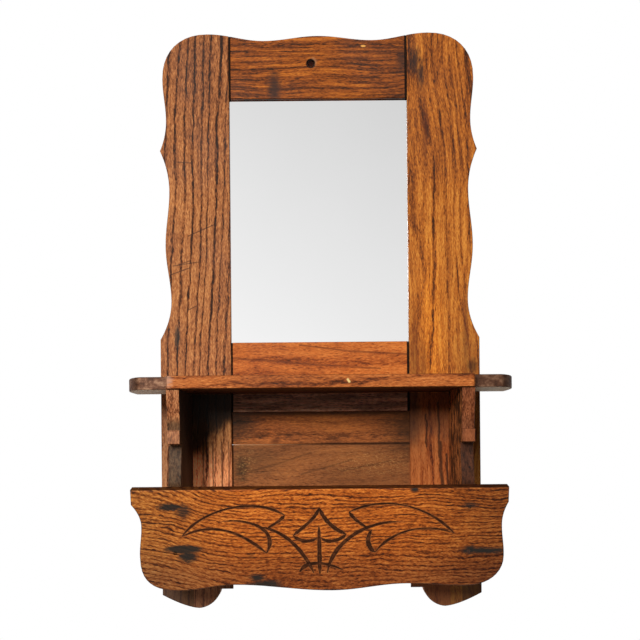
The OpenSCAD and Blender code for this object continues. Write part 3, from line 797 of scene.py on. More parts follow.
for name, material in FRAME_OAK.items():
    dress(name, material, "oak_frame", (on_face, 0.9 * MM), (outer_back, 0.8 * MM, 2))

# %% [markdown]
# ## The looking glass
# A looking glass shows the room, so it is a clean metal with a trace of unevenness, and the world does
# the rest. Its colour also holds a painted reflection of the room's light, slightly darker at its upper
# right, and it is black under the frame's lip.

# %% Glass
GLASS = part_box("mirror_glass")
# The light in the glass beside the hanging hole, and its change for each millimetre to the right and up
GLASS_LIGHT, CHANGE_RIGHT, CHANGE_UP = 0.668, -0.00045, -0.00068
SILVER_DARK, SILVER_BRIGHT, SILVER_UNDER_LIP = (0, 0, 0, 1), (1, 1, 1, 1), (0.02, 0.014, 0.01, 1)


def looking_glass():
    glass = Finish("looking_glass", LYING)
    right, up = glass.along, glass.across
    cloud = glass.noise(0.012, 2)
    # Painted reflection: the room's light in the glass, darker to the right and up
    shade = glass.linear(right, CHANGE_RIGHT, glass.linear(up, CHANGE_UP, GLASS_LIGHT))
    shade = glass.linear(glass.math("SUBTRACT", cloud, 0.5), 0.02, shade)
    silver = glass.mix(shade, SILVER_DARK, SILVER_BRIGHT)
    from_middle = glass.math("ABSOLUTE", glass.math("SUBTRACT", up, (SIGHT[0].z + SIGHT[1].z) / 2))
    half = (SIGHT[1].z - SIGHT[0].z) / 2
    hidden = glass.most(
        glass.ease(glass.math("ABSOLUTE", right), SIGHT[1].x, SIGHT[1].x + 1),
        glass.ease(from_middle, half + 0.5, half + 1.5),
    )
    glass.colour = glass.mix(hidden, silver, SILVER_UNDER_LIP)
    return glass.done(glass.ease(cloud, 0.3, 0.7, 0.01, 0.035), metallic=1.0)


place_piece("looking_glass", solid("mirror_glass"), [looking_glass()], ["mirror_glass"])
print("glass is", [round(v / MM, 1) for v in GLASS[1] - GLASS[0]], "mm")

# %% [markdown]
# ## The boards behind
# Two plain boards close the lower opening. Painted shade and soot lie on them in the corners, under the
# shelf and along the left end beside the stile, and the seam between them catches the light at its left
# end, where a highlight is painted. The board behind the glass is bare softwood that has gone brown.

# %% Back boards
SEAM_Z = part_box("lower_back_board")[1].z
SEAM = SEAM_Z / MM
BACK_MARKS = 12


def back_board_marks(wood):
    """Painted shade and soot, a greenish patch, a glow, scratches, a darker right end, dust, a knot, and at
    the seam a painted highlight and dark dirt.
    """
    right, up = wood.along, wood.across
    # Painted shade and soot in the corners and along the top, and the painted shadow of the stile's lip at
    # the left end
    shade_and_soot = wood.spots(
        ((-89, -357), (44, 38), 0.8, 0.5), ((92, -363), (44, 50), 0.8, 0.5),
        ((-80, -406), (12, 20), 0.9, 0.6),
    )
    top, stile_shadow = wood.ease(up, -355, -349.2), wood.fall(right, SIGHT[0].x + 0.6, SIGHT[0].x + 1.6)
    wood.paint((32, 27, 18), wood.most(shade_and_soot, top, stile_shadow), 0.8)
    wood.paint((84, 62, 40), wood.spot((-70, -396), (50, 26), 0.9, 0.6), 0.4)
    wood.dye((1.45, 1.4, 1.3), wood.spot((-52, -367), (60, 20), 0.9, 0.4))
    scratches = wood.lines(
        ((-72, -408), (-40, -399), 1.6), ((-40, -399), (-10, -389), 1.4),
        ((-20, -411), (30, -397), 1.3), ((20, -408), (70, -398), 1.3),
    )
    wood.paint((70, 44, 26), scratches, 0.4)
    low_right = wood.times(wood.ease(right, -15, 20), wood.fall(up, -408, -398, 0.4))
    wood.paint((84, 48, 28), wood.most(wood.ease(right, 10, 95, 0, 0.3), low_right))
    fleck = wood.ease(wood.noise((0.5, 1.1, 0.5), 3, 0.7), 0.54, 0.64, 0, 0.55)
    dusty = wood.spots(((50, -400), (70, 20), 0.9, 0.5), ((-76, -398), (16, 34), 0.9, 0.5))
    wood.paint((226, 164, 96), fleck, dusty)
    wood.paint((80, 38, 22), wood.spot((-45.6, -377), (9, 6), 0.7), 0.7)
    # Painted highlight on the lower board's edge where the seam is open at its left end
    lip = wood.between(up, SEAM - 0.55, SEAM + 0.25, 0.2)
    wood.paint((240, 190, 144), lip, wood.fall(right, -84, -4, 0.8))
    seam = wood.between(up, SEAM - 1, SEAM + 1, 0.6)
    wood.paint((48, 30, 20), seam, wood.ease(right, -30, 10, 0, 0.7))


BACK_OAK = {
    "upper_back_board": oak(
        "oak_upper_board", LYING, back_board_marks, BACK_MARKS,
        pore=(74, 42, 22), dark=(120, 66, 34), body=(174, 100, 52), light=(212, 126, 62),
        ring=9, pith=(-500, -70), sway=4.0, bands=0.16, pores=0.25, blotches=0.6, seed=(5, 5, 90),
    ),
    "lower_back_board": oak(
        "oak_lower_board", LYING, back_board_marks, BACK_MARKS,
        pore=(76, 46, 28), dark=(120, 70, 38), body=(160, 98, 56), light=(186, 118, 66),
        ring=7, pith=(-470, -30), tilt=(0.08, 0.0), sway=8.0, bands=0.14, pores=0.2, streaks=0.35,
        blotches=0.35, seed=(55, 45, 12),
    ),
}
for name, material in BACK_OAK.items():
    board_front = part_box(name)[0].y
    dress(name, material, "oak_back", (lambda p: on_face(p, board_front), 0.5 * MM, 2), ending="_piece")


# %% Backing board
def refinish(node, material):
    """Gives a packed node a material and leaves its shape alone."""
    node.data.materials.clear()
    node.data.materials.append(material)


BACKING_WOOD = oak(
    "bare_softwood", UPRIGHT,
    pore=(104, 72, 44), dark=(140, 102, 62), body=(176, 134, 86), light=(200, 160, 110),
    ring=11, pith=(20, -40), tilt=(0.02, 0.03), bands=0.4, pores=0.1, ticks=0.1, hue=0.2,
    gloss=(0.7, 0.85), edge_share=0.3,
)
refinish(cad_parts["mirror_back_board"], BACKING_WOOD)
print("the backing board is", BACKING_WOOD.name)

# %% [markdown]
# ## Dirt in the joints
# Wax and dust have filled the frame's joints flush and black, and most of the seam between the two back
# boards; only the seam's left end is open, and there the filling is painted pale, as the light that shows
# through the crack, before it turns to tan dust. Each filling is a slim strip: a rectangle pulled along X
# from station to station, so it can narrow with the seam.


# %% Dirt
def dirt_shade_and_light_finish(name, dusty=None):
    """Black dirt. dusty gives two places along X between which a pale colour, painted light seen through
    the seam and dust, gives way to it.
    """
    dirt = Finish(name, LYING)
    dirt.colour = dirt.ramp(dirt.noise(0.5, 3), {0.3: (16, 10, 8), 0.7: (40, 26, 18)})
    if dusty:
        # Painted light and dust: pale where light shows through the seam's open end, fading into the dark
        # dirt
        dirt.paint((232, 168, 114), dirt.fall(dirt.along, *dusty))
    return dirt.done(0.9, shine=0.1)


def of_kind(geometry, kind):
    return [part for part in geometry if isinstance(part, kind)]


def strip(name, material, stations, depths):
    """A strip of dirt along X through stations (x, low, high) and between two depths, in millimetres."""
    bm = bmesh.new()
    x, low, high = stations[0]
    corners = ((depths[0], low), (depths[1], low), (depths[1], high), (depths[0], high))
    end, inner = [bm.faces.new([bm.verts.new(Vector((x, y, z)) * MM) for y, z in corners])], []
    for x, low, high in stations[1:]:
        pulled = bmesh.ops.extrude_face_region(bm, geom=end)["geom"]
        bmesh.ops.delete(bm, geom=inner, context="FACES_ONLY")
        inner = end = of_kind(pulled, bmesh.types.BMFace)
        corners = of_kind(pulled, bmesh.types.BMVert)
        middle = sum(vert.co.z for vert in corners) / len(corners)
        for vert in corners:
            vert.co.x, vert.co.z = x * MM, (high if vert.co.z > middle else low) * MM
    bmesh.ops.recalc_face_normals(bm, faces=bm.faces)
    place_piece(name, bm, [material])


DIRT_AND_SHADE = dirt_shade_and_light_finish("old_dirt")
SEAM_DIRT_AND_LIGHT = dirt_shade_and_light_finish("seam_dust", dusty=(-80, 0))
print("dirt's finishes:", DIRT_AND_SHADE.name, SEAM_DIRT_AND_LIGHT.name)

# %% Seam and joints
# In millimetres: what stays free in the seam, and in a joint at its sides, its foot and its head
SEAM_FREE = 0.01
SIDE_FREE, FOOT_FREE, HEAD_FREE = 0.05, 0.1, 0.3
SEAM_DEPTHS = (0.8, 7)
JOINT_DEPTHS = (FACE + 0.2, FACE + 3.9)
WIDEST_JOINT = 2.5
seam_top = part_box("upper_back_board")[0].z / MM
board_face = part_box("lower_back_board")[0].y / MM
lower_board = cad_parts["lower_back_board"].data.vertices
lower_edge = sorted((v.co.x / MM, v.co.z / MM) for v in lower_board if v.co.z > SEAM_Z - MM)
(first_x, first_z), (last_x, last_z) = lower_edge[0], lower_edge[-1]
stations = []
for x, open_share in ((SIGHT[0].x + 1, 0.3), (SIGHT[0].x + 9, 0.0), (SIGHT[1].x, 0.0)):
    low = first_z + (last_z - first_z) * (x - first_x) / (last_x - first_x)
    stations.append((x, low + SEAM_FREE, seam_top - SEAM_FREE - open_share * (seam_top - low)))
strip("seam_dirt", SEAM_DIRT_AND_LIGHT, stations, [board_face + depth for depth in SEAM_DEPTHS])
print("seam's heights in mm:", [round(high - low, 2) for x, low, high in stations])
for rail in ("top_rail", "middle_rail"):
    front = [v.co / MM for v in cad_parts[rail].data.vertices if v.co.y < FACE_Y + 0.1 * MM]
    for side, stile_edge in (("left", SIGHT[0].x), ("right", SIGHT[1].x)):
        end = [p for p in front if abs(p.x - stile_edge) < WIDEST_JOINT]
        low_x, high_x = sorted((stile_edge, end[0].x))
        low_z, high_z = min(p.z for p in end) + FOOT_FREE, max(p.z for p in end) - HEAD_FREE
        across_joint = [(x, low_z, high_z) for x in (low_x + SIDE_FREE, high_x - SIDE_FREE)]
        strip(f"{rail}_{side}_joint_dirt", DIRT_AND_SHADE, across_joint, JOINT_DEPTHS)
        print(rail, side, "joint is", round(high_x - low_x, 1), "mm wide")

# %% [markdown]
# A dark plug in the bottom of the hanging hole, in the joints' dirt finish, stands in for the shade there.
# A disc as wide as the hole is cut along a chord, stood upright in the hole and pulled to its depth,
# because then it follows the hole's round wall.


# %% Hole dust
HOLE_SEGMENTS = 54


def crescent(name, material, centre, radius, depths, reach):
    """A dark crescent in the bottom of a round hole, up to an angle of reach on either side, as painted
    shade.
    """
    bm = bmesh.new()
    bmesh.ops.create_circle(bm, cap_ends=True, segments=HOLE_SEGMENTS, radius=radius * MM)
    disc = [*bm.verts, *bm.edges, *bm.faces]
    chord = (0, -radius * cos(radians(reach)) * MM, 0)
    bmesh.ops.bisect_plane(
        bm, geom=disc, dist=0.001 * MM, plane_co=chord, plane_no=(0, 1, 0), clear_outer=True,
    )
    in_hole = Matrix.Translation(Vector((centre[0], depths[0], centre[1])) * MM)
    bmesh.ops.transform(bm, matrix=in_hole @ Matrix.Rotation(radians(90), 4, "X"), verts=bm.verts)
    back = bmesh.ops.extrude_face_region(bm, geom=bm.faces[:])["geom"]
    push = (0, (depths[1] - depths[0]) * MM, 0)
    bmesh.ops.translate(bm, verts=of_kind(back, bmesh.types.BMVert), vec=push)
    bmesh.ops.recalc_face_normals(bm, faces=bm.faces)
    place_piece(name, bm, [material])


crescent("hole_dust", DIRT_AND_SHADE, HOLE_CENTRE, radius=4.18, depths=(FACE + 0.6, FACE + 5), reach=40)
print("dust in the hanging hole")

# %% [markdown]
# ## The shelf
# Its grain runs along it, its front edge is orange from handling, and the ears past the frame are
# grey-brown: dirt and worn finish gather there. Their undersides are bare, and painted pale as well with
# bounce light, and the shelf's underside between the side boards is painted dark as shade.


# %% Shelf
def shelf_marks(wood):
    """Dirty ears with pale undersides, partly painted bounce light, painted shade under the shelf's middle,
    worn shellac at the left end, and a chip on the edge.
    """
    past_side = (SIDE_OUT - 0.5, SIDE_OUT + 0.8)
    ear = wood.ease(wood.math("ABSOLUTE", wood.along), *past_side)
    mottle = {0.3: (66, 42, 30), 0.5: (112, 74, 54), 0.66: (170, 128, 100)}
    wood.colour = wood.mix(ear, wood.colour, wood.ramp(wood.noise((0.16, 0.2, 0.1), 4, 0.65), mottle))
    wood.paint((58, 36, 26), wood.ease(wood.along, *past_side), 0.5)
    # Bare wood and painted bounce light: the ears' undersides are painted pale
    under = wood.ease(wood.facing(0, 0, -1), 0.6, 0.9)
    wood.paint((226, 200, 170), ear, under, 0.85)
    # Painted shade: the underside between the side boards is painted dark
    between_ears = wood.math("SUBTRACT", 1.0, ear)
    wood.paint((34, 20, 14), between_ears, under, 0.8)
    edge = wood.ease(wood.through, SHELF_EDGE - 5, SHELF_EDGE - 3)
    wood.paint((214, 170, 144), wood.spot((-138, -322), (8, 11), 0.7, 0.6), edge, 0.5)
    wood.paint((232, 200, 130), wood.line((24.6, -322.2), (26.0, -324.2), 1.5), edge)


SHELF_OAK = oak(
    "oak_shelf", LYING, shelf_marks,
    pore=(70, 34, 16), dark=(120, 60, 28), body=(175, 97, 46), light=(218, 136, 72),
    ring=3.6, pith=(-352, 40), tilt=(0.03, 0.0), sway=2.0, ripple=0.7, bands=0.3, pores=0.4, ticks=0.3,
    seed=(44, 2, 8),
)
dress("shelf", SHELF_OAK, "oak_shelf", (lambda p: not on_face(p), 1.1 * MM))

# %% [markdown]
# ## The side boards
# Their front edges show a lighter square fillet between two greyish stretches. The grain runs down.
# The left one's inner side faces away from the window and carries painted shade and soot, and the right
# one's is blotched.

# %% Side boards
# The fillet's lower and upper end, in millimetres up from the hanging hole
FILLET_LOW, FILLET_HIGH = -380, -367
FRONT_EDGES_Y = FACE_Y - 50 * MM
SIDE_GRAIN = dict(ring=5.5, pith=(-260, 120), sway=4.0, bands=0.3, speck=1.8, streaks=0.6)


def side_marks(rubbed, dirt, dirt_above, shade_and_soot=0.0, blotched=0.0):
    """Dirt in two colours on the front edge, above and below the fillet, which is rubbed clean.

    Of the last two shares, the first paints shade and soot on the side that faces right, and blotched spots
    the side that faces left.
    """

    def marks(wood):
        up = wood.along
        front = wood.ease(wood.facing(0, -1, 0), 0.6, 0.85)
        above = wood.times(wood.past(up, FILLET_HIGH, 1), wood.fall(up, -362, -352, dirt_above))
        dirty = wood.times(wood.most(above, wood.before(up, FILLET_LOW, 1)), front)
        mottle = wood.ramp(wood.noise((0.14, 0.4, 0.4), 4, 0.8), dict(zip((0.4, 0.6), dirt)))
        cloud = wood.noise((0.07, 0.12, 0.12), 4, 0.75)
        faces_left = wood.ease(wood.facing(-1, 0, 0), 0.5, 0.9, 0, blotched)
        wood.dye((2.3, 2.5, 2.1), faces_left)
        wood.paint((34, 24, 17), faces_left, wood.fall(cloud, 0.46, 0.54, 0.9))
        # Painted shade and soot: the side that faces right, away from the window, is painted almost black
        wood.paint((27, 28, 27), wood.ease(wood.facing(1, 0, 0), 0.5, 0.9), shade_and_soot)
        wood.colour = wood.mix(wood.times(dirty, 0.88), wood.colour, mottle)
        fillet = wood.times(wood.past(up, FILLET_LOW + 1, 1), wood.before(up, FILLET_HIGH, 1))
        wood.paint(rubbed, fillet, front, 0.4)

    return marks


SIDE_OAK = {
    "left_bracket": oak(
        "oak_left_side", (ALONG_Z, ALONG_Y),
        side_marks((160, 112, 84), ((22, 20, 14), (90, 71, 50)), 0.9, shade_and_soot=0.92),
        pore=(50, 28, 17), dark=(100, 56, 33), body=(162, 100, 64), light=(200, 138, 92), **SIDE_GRAIN,
    ),
    "right_bracket": oak(
        "oak_right_side", (ALONG_Z, ALONG_Y),
        side_marks((156, 90, 54), ((16, 12, 10), (76, 44, 29)), 0.3, blotched=1.0),
        pore=(46, 24, 14), dark=(92, 46, 24), body=(124, 70, 43), light=(156, 94, 60), **SIDE_GRAIN,
        seed=(400, 90, 60),
    ),
}
for name, material in SIDE_OAK.items():
    dress(name, material, "oak_pocket", (lambda p: p.y < FRONT_EDGES_Y, 0.7 * MM, 2))

# %% [markdown]
# ## The pocket front
# The plate's outline is taken from the packed solid: the strip round its rim is kept and both faces are
# closed anew, and then the arris is rounded.


# %% Plate
def in_plate(point):
    """Where a point lies in the plate's own frame: across, up the slope, and out from its back face."""
    away = point - FRONT_FOOT
    return Vector((away.x, away.dot(UP_THE_FRONT), away.dot(OUT_OF_FRONT)))


def plate():
    """The pocket front's plate without its grooves and nail holes."""
    bm = solid("pocket_front")
    flat = [f for f in bm.faces if abs(f.normal.dot(OUT_OF_FRONT)) > 0.5]
    bmesh.ops.delete(bm, geom=flat, context="FACES_ONLY")
    loose = [e for e in bm.edges if not e.link_faces]
    bmesh.ops.delete(bm, geom=loose, context="EDGES")
    rim = set(long_loops(list(bm.edges), 0.9 * (POCKET_FRONT[1].x - POCKET_FRONT[0].x)))
    bmesh.ops.delete(bm, geom=[e for e in bm.edges if e not in rim], context="EDGES")
    bmesh.ops.delete(bm, geom=[v for v in bm.verts if not v.link_edges], context="VERTS")
    bmesh.ops.holes_fill(bm, edges=[e for e in bm.edges if e.is_boundary], sides=0)
    bmesh.ops.recalc_face_normals(bm, faces=bm.faces)
    return bm


bm = plate()
print("plate:", len(bm.faces), "faces, open edges:", sum(e.is_boundary for e in bm.edges))
soften(bm, lambda p: in_plate(p).z > FRONT_THICKNESS - NEAR, 1.6 * MM, 4)
soften(bm, lambda p: in_plate(p).z < NEAR, 0.8 * MM, 2)

# %% [markdown]
# ## The leaves
# Two leaves and a spade-shaped bud between them, a common ornament of the time. Each stroke has its
# share of the full width at its start, middle and end, then an end, two handles and the other end, in
# millimetres across the plate from its middle and up its slope.

# %% Strokes
LEFT_LEAF = [
    ((1.0, 0.62, 1.15), (-126, 49), (-107, 75), (-59, 87), (-32, 68.5)),
    ((1.1, 0.8, 0.85), (-32, 68.5), (-36, 63), (-42, 60), (-47.5, 56.5)),
    ((0.35, 0.8, 1.35), (-91, 62.5), (-73, 67), (-35, 59), (-49, 32.5)),
    ((0.9, 0.72, 1.2), (-126, 49), (-97, 64), (-72, 53), (-49, 32.5)),
    ((0.8, 1.0, 1.15), (-54.5, 57.5), (-31, 54), (-15, 34), (-6, 13)),
]
BUD = [
    ((1.4, 0.9, 0.7), (-19, 14), (-12, 28), (10.5, 21.5), (21, 15.5)),
    ((1.1, 0.9, 1.1), (-0.5, 75.5), (-4.5, 63.5), (-16, 57), (-24.5, 49)),
    ((1.0, 0.95, 0.8), (-24.5, 49), (-18.5, 43), (-8.5, 41.5), (-2, 47.5)),
    ((1.0, 1.1, 1.1), (-0.5, 75.5), (3, 63.5), (13, 54.5), (24, 50)),
    ((0.9, 1.0, 0.9), (24, 50), (19, 44.5), (7, 40.5), (1, 46.5)),
    ((0.7, 1.15, 1.1), (-1, 59), (-0.7, 43), (-0.7, 28), (-0.5, 12)),
]
RIGHT_LEAF = [
    ((1.15, 1.0, 0.4), (6.5, 13), (11, 45), (47, 65), (77, 61)),
    ((1.05, 0.55, 1.15), (26.5, 71), (59.5, 87.5), (98, 76.5), (122.5, 50)),
    ((1.1, 0.9, 0.75), (26.5, 71), (30.5, 64.5), (36.5, 60), (42.5, 56.5)),
    ((0.7, 1.25, 1.2), (47.5, 54.5), (42.5, 47), (42, 38.5), (50, 32.5)),
    ((1.0, 0.6, 0.6), (50, 32.5), (67, 55), (97.5, 60.5), (122.5, 50)),
]
print("strokes:", len(LEFT_LEAF + BUD + RIGHT_LEAF))

# %% [markdown]
# ## The carver's tool
# The leaves were cut with a V-shaped parting tool, which goes in, deepens and comes out again. So each
# stroke is a curve with a V-shaped section that narrows at its ends and wavers a little, as a hand does.

# %% Stroke shapes
GROOVE_WIDTH = 3.9 * MM
GROOVE_DEPTH = 1.8 * MM
CLEAR = 1.0 * MM
STROKE_STEPS = 26
# A stroke's tip is this share of its full width, which it has after 1 / STROKE_ENTRY of its length
STROKE_TIP = 0.35
STROKE_ENTRY = 7
LEANING = Matrix((ALONG_X, UP_THE_FRONT, OUT_OF_FRONT)).transposed().to_4x4()
ON_PLATE = Matrix.Translation(FRONT_FOOT + OUT_OF_FRONT * FRONT_THICKNESS) @ LEANING


def bezier(points, t):
    a, b, c, d = (Vector(p) * MM for p in points)
    return a * (1 - t) ** 3 + b * 3 * t * (1 - t) ** 2 + c * 3 * t * t * (1 - t) + d * t**3


def stroke_width(at_start, at_middle, at_end, t):
    """The tool's width at t from 0 to 1: a parabola through three shares, with a waver and narrow ends."""
    width = at_start * (1 - t) * (1 - 2 * t) + at_middle * 4 * t * (1 - t) + at_end * t * (2 * t - 1)
    waver = 1 + 0.06 * sin(23 * t + 5 * at_end) + 0.04 * sin(51 * t)
    way_in = min(1, STROKE_ENTRY * t, STROKE_ENTRY * (1 - t))
    return width * waver * (STROKE_TIP + (1 - STROKE_TIP) * way_in)


print("a stroke starts at", STROKE_TIP, "of its width")


# %% Tool and cutter
def drawn(name, corners):
    """A curve through corners, as an object."""
    curve = bpy.data.curves.new(name, "CURVE")
    spline = curve.splines.new("POLY")
    spline.points.add(len(corners) - 1)
    for point, corner in zip(spline.points, corners):
        point.co = (*corner, 0, 1)
    made = bpy.data.objects.new(name, curve)
    scene.collection.objects.link(made)
    return made


def evaluated(thing):
    bpy.context.view_layer.update()
    return thing.evaluated_get(bpy.context.evaluated_depsgraph_get())


def v_tool():
    """The tool's section, a triangle with its point down in the wood and its back clear of the face."""
    back = GROOVE_WIDTH / 2 * (1 + CLEAR / GROOVE_DEPTH)
    made = drawn("v_tool", [(-back, CLEAR), (0, -GROOVE_DEPTH), (back, CLEAR)])
    made.data.splines[0].use_cyclic_u = True
    return made


def cutter(stroke, tool):
    """One stroke as a closed solid that lies on the plate's front face."""
    shares, *points = stroke
    steps = [i / STROKE_STEPS for i in range(STROKE_STEPS + 1)]
    path = drawn("stroke", [bezier(points, t) for t in steps])
    for t, point in zip(steps, path.data.splines[0].points):
        point.radius = stroke_width(*shares, t)
    path.data.dimensions = "3D"
    path.data.twist_mode = "Z_UP"
    path.data.bevel_mode = "OBJECT"
    path.data.bevel_object = tool
    path.data.use_fill_caps = True
    bm = bmesh.new()
    bm.from_mesh(evaluated(path).to_mesh())
    bpy.data.objects.remove(path)
    bmesh.ops.remove_doubles(bm, verts=bm.verts, dist=0.001 * MM)
    bmesh.ops.recalc_face_normals(bm, faces=bm.faces)
    bmesh.ops.transform(bm, matrix=ON_PLATE, verts=bm.verts)
    return bm


print("the tool cuts", GROOVE_WIDTH / MM, "mm wide")


# %% Carving
LEAVES_REACH, LEAVES_FOOT, LEAVES_TOP = 135 * MM, 8 * MM, 85 * MM


def carve(bm, strokes):
    """Takes every stroke out of the plate with a Boolean."""
    tool = v_tool()
    body = as_object("plate", bm, [])
    for stroke in strokes:
        knife = as_object("knife", cutter(stroke, tool), [])
        cut = body.modifiers.new("cut", "BOOLEAN")
        cut.operation = "DIFFERENCE"
        cut.solver = "MANIFOLD"
        cut.object = knife
        fresh = bpy.data.meshes.new_from_object(evaluated(body))
        body.modifiers.clear()
        body.data = fresh
        bpy.data.objects.remove(knife)
    carved = bmesh.new()
    carved.from_mesh(body.data)
    bpy.data.objects.remove(body)
    bpy.data.objects.remove(tool)
    return carved


def in_groove(face):
    """True for a face that slopes, lies below the plate's front and is among the leaves."""
    centre = in_plate(face.calc_center_median())
    slopes = 0.3 < abs(face.normal.dot(OUT_OF_FRONT)) < 0.98
    cut_in = FRONT_THICKNESS - 1.1 * GROOVE_DEPTH < centre.z < FRONT_THICKNESS
    return slopes and cut_in and abs(centre.x) < LEAVES_REACH and LEAVES_FOOT < centre.y < LEAVES_TOP


bm = carve(bm, LEFT_LEAF + BUD + RIGHT_LEAF)
for face in bm.faces:
    face.material_index = int(in_groove(face))
cut_faces = sum(face.material_index for face in bm.faces)
print("carved plate:", len(bm.faces), "faces,", cut_faces, "in the grooves")
print("open edges:", sum(not e.is_manifold for e in bm.edges))

# %% [markdown]
# ## The pocket front's finish
# The middle is orange where hands have kept it clean, the ends are duller, and the plate darkens towards
# its lower edge. Iron nails turn oak's tannin blue-black. The grooves hold dirt, their lips are chipped
# and pale, and their walls that face up or left carry painted light.


# %% Pocket front finish
def pocket_front_marks(wood):
    """Duller ends and lower edge, iron stains round the nails, a dark speck and a dark top edge."""
    for value, clean, dull, factors in (
        (wood.along, -60, -170, (0.80, 1.02, 1.4)),
        (wood.along, 60, 170, (0.52, 0.57, 0.78)),
        (wood.across, 55, 5, (0.56, 0.58, 0.86)),
    ):
        wood.dye(factors, wood.ease(value, clean, dull))
    iron = wood.spots(
        ((-136, 77), (22, 7), 0.35, 0.25), ((-124, 73), (13, 13), 0.6, 0.3, 0.85),
        ((-125, 37), (34, 8), 0.3, 0.2), ((-121, 30), (16, 12), 0.4, 0.3),
        ((-50, 2), (28, 9), 0.5, 0.4), ((-58, 9), (13, 7), 0.6, 0.4),
        ((136, 76.5), (12, 5), 0.9, 0.4, 0.8), ((86, 91.1), (7, 4), 0.5, 0.3),
        ((150, 33.5), (38, 6), 0.6, 0.35), ((137, 34), (13, 8), 0.6, 0.4),
    )
    wood.paint((36, 35, 32), iron, 0.96)
    wood.paint((50, 32, 22), wood.spot((-63.9, 29.9), (5, 4), 0.8), 0.5)
    wood.paint((46, 26, 17), wood.ease(wood.facing(0, 0, 1), 0.55, 0.85), 0.85)


def groove_finish():
    """The V-cuts: dark walls, painted paler as lit where they face up or left, and chipped lips."""
    cut = Finish("carved_groove", SLANTED, FRONT_FOOT)
    face = FRONT_THICKNESS / MM
    fibre = cut.noise((0.35, 1.6, 1.6), 3, 0.6)
    height = cut.linear(cut.math("SUBTRACT", fibre, 0.5), 1.2, cut.through)
    walls = {0.0: (74, 41, 23), 0.3: (56, 30, 17), 0.7: (62, 33, 18), 1.0: (160, 94, 50)}
    cut.colour = cut.ramp(cut.ease(height, face - GROOVE_DEPTH / MM, face + 0.1), walls)
    # Painted light: walls that face up, or left towards the window, are painted paler
    facing_up = cut.ease(cut.facing(0, 0, 1), 0.0, 0.45, 0, 0.35)
    facing_left = cut.ease(cut.facing(-1, 0, 0), 0.3, 0.7, 0, 0.2)
    cut.paint((138, 80, 46), cut.most(facing_up, facing_left))
    cloud = cut.noise((0.12, 0.3, 0.3), 3, 0.6)
    cut.paint((134, 76, 40), cut.ease(cloud, 0.5, 0.75, 0, 0.4))
    cut.paint((24, 13, 8), cut.fall(cloud, 0.35, 0.55, 0.5))
    return cut.done(cut.ease(fibre, 0.3, 0.7, 0.55, 0.75), shine=0.05)


def end_swirl(wood):
    """The grain sinks towards the middle from the left end, as it does beside a knot."""
    return wood.join(0.0, wood.ease(wood.along, -178, -60, -22, 0))


POCKET_OAK = oak(
    "oak_pocket_front", SLANTED, pocket_front_marks, origin=FRONT_FOOT,
    pore=(66, 32, 15), dark=(120, 58, 22), body=(184, 96, 36), light=(228, 138, 58),
    ring=3.4, uneven=0.35, pith=(-120, 70), sway=6.0, ripple=1.5, bend=end_swirl, band=0.7, gaps=0.35,
    bands=0.42, pores=0.4, ticks=0.3, speck=1.35, fineness=1.8, base=0.72, seed=(140, 30, 0),
)
pocket_finish = [POCKET_OAK, groove_finish()]
place_piece("carved_pocket_front", bm, pocket_finish, ["pocket_front"], smooth=30)
print("pocket front:", [material.name for material in pocket_finish])

# %% [markdown]
# ## The pocket floor
# It is a plain board between the side boards that nobody was meant to see, so it stays sharp and dull.

# %% Pocket floor
FLOOR_OAK = oak(
    "oak_pocket_floor", (ALONG_X, ALONG_Y),
    body=(112, 70, 44), light=(140, 92, 60), dark=(80, 50, 32), pith=(60, 80), seed=(9, 9, 9),
)
dress("pocket_floor", FLOOR_OAK, "oak_pocket")

# %% [markdown]
# ## Dowels, screws, nails and brads
# They hardly show, but the back is seen: slotted screws with dull, rusty heads, and dark iron nails.


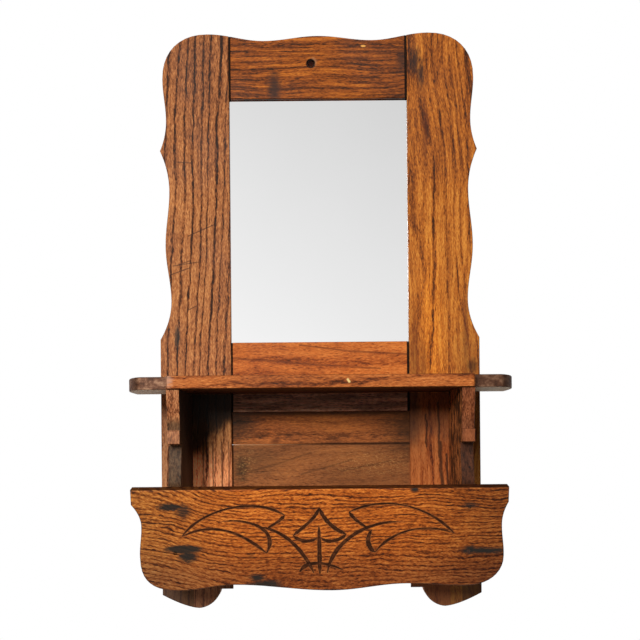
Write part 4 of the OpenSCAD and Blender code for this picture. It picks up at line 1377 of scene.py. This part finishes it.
# %% Metal and dowels
def old_metal(name, clean, rust, metallic, share):
    """Dull metal with rust in patches."""
    metal = Finish(name, LYING)
    grain = metal.noise(3.0, 3, 0.6)
    rust_starts = 0.6 - share * 0.3
    rusty = metal.ease(metal.noise(0.8, 4, 0.65), rust_starts, rust_starts + 0.15)
    metal.colour = metal.mix(rusty, srgb(*clean), metal.mix(grain, srgb(*rust), srgb(60, 36, 24)))
    metal.bump(grain, strength=0.3, depth=0.1 * MM)
    return metal.done(metal.ease(rusty, 0, 1, 0.42, 0.8), metallic=metal.ease(rusty, 0, 1, metallic, 0.1))


SCREW_STEEL = old_metal("screw_steel", (128, 122, 112), (112, 66, 38), metallic=0.9, share=0.5)
NAIL_IRON = old_metal("nail_iron", (58, 50, 46), (84, 50, 34), metallic=0.7, share=0.8)
DOWEL_BIRCH = oak(
    "dowel_birch", LYING,
    pore=(140, 106, 70), dark=(170, 134, 92), body=(200, 166, 122), light=(220, 190, 148),
    ring=9, bands=0.4, pores=0.1, ticks=0.15, shine=0.2, gloss=(0.6, 0.75), edge_share=0.0,
)
FASTENERS = {"dowels": DOWEL_BIRCH, "screws": SCREW_STEEL, "nails": NAIL_IRON, "brads": NAIL_IRON}
for name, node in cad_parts.items():
    finish = FASTENERS.get(name.split("_")[-1])
    if finish:
        refinish(node, finish)
        print(name, "is", finish.name)

# %% [markdown]
# ## The floor
# A pale round floor well below the piece takes its shadow, sends some light up under the shelf, and
# fades into the white round it.

# %% Floor
# In metres
FLOOR_Z = -0.95
FLOOR_RADIUS = 0.8
FADE = [share * FLOOR_RADIUS / MM for share in (0.6, 0.98)]
bm = bmesh.new()
bmesh.ops.create_circle(bm, cap_ends=True, segments=96, radius=FLOOR_RADIUS)
bmesh.ops.translate(bm, verts=bm.verts, vec=(0, 0, FLOOR_Z))
pale = Finish("pale_floor", (ALONG_X, ALONG_Y))
pale.colour = pale.ramp(pale.noise(0.06, 3), {0.3: (231, 231, 230), 0.7: (236, 236, 235)})
pale.done(0.8)
away = pale.vector("LENGTH", pale.vector("MULTIPLY", pale.place, (1, 1, 0)))
clear = pale.add("ShaderNodeBsdfTransparent", {})
shown = pale.mix_shader(pale.ease(away, *FADE), pale.shader.outputs[0], clear)
pale.plug(shown, pale.tree.nodes["Material Output"].inputs["Surface"])
floor = as_object("floor", bm, [pale.material])
print("floor at", FLOOR_Z, "m")

# %% [markdown]
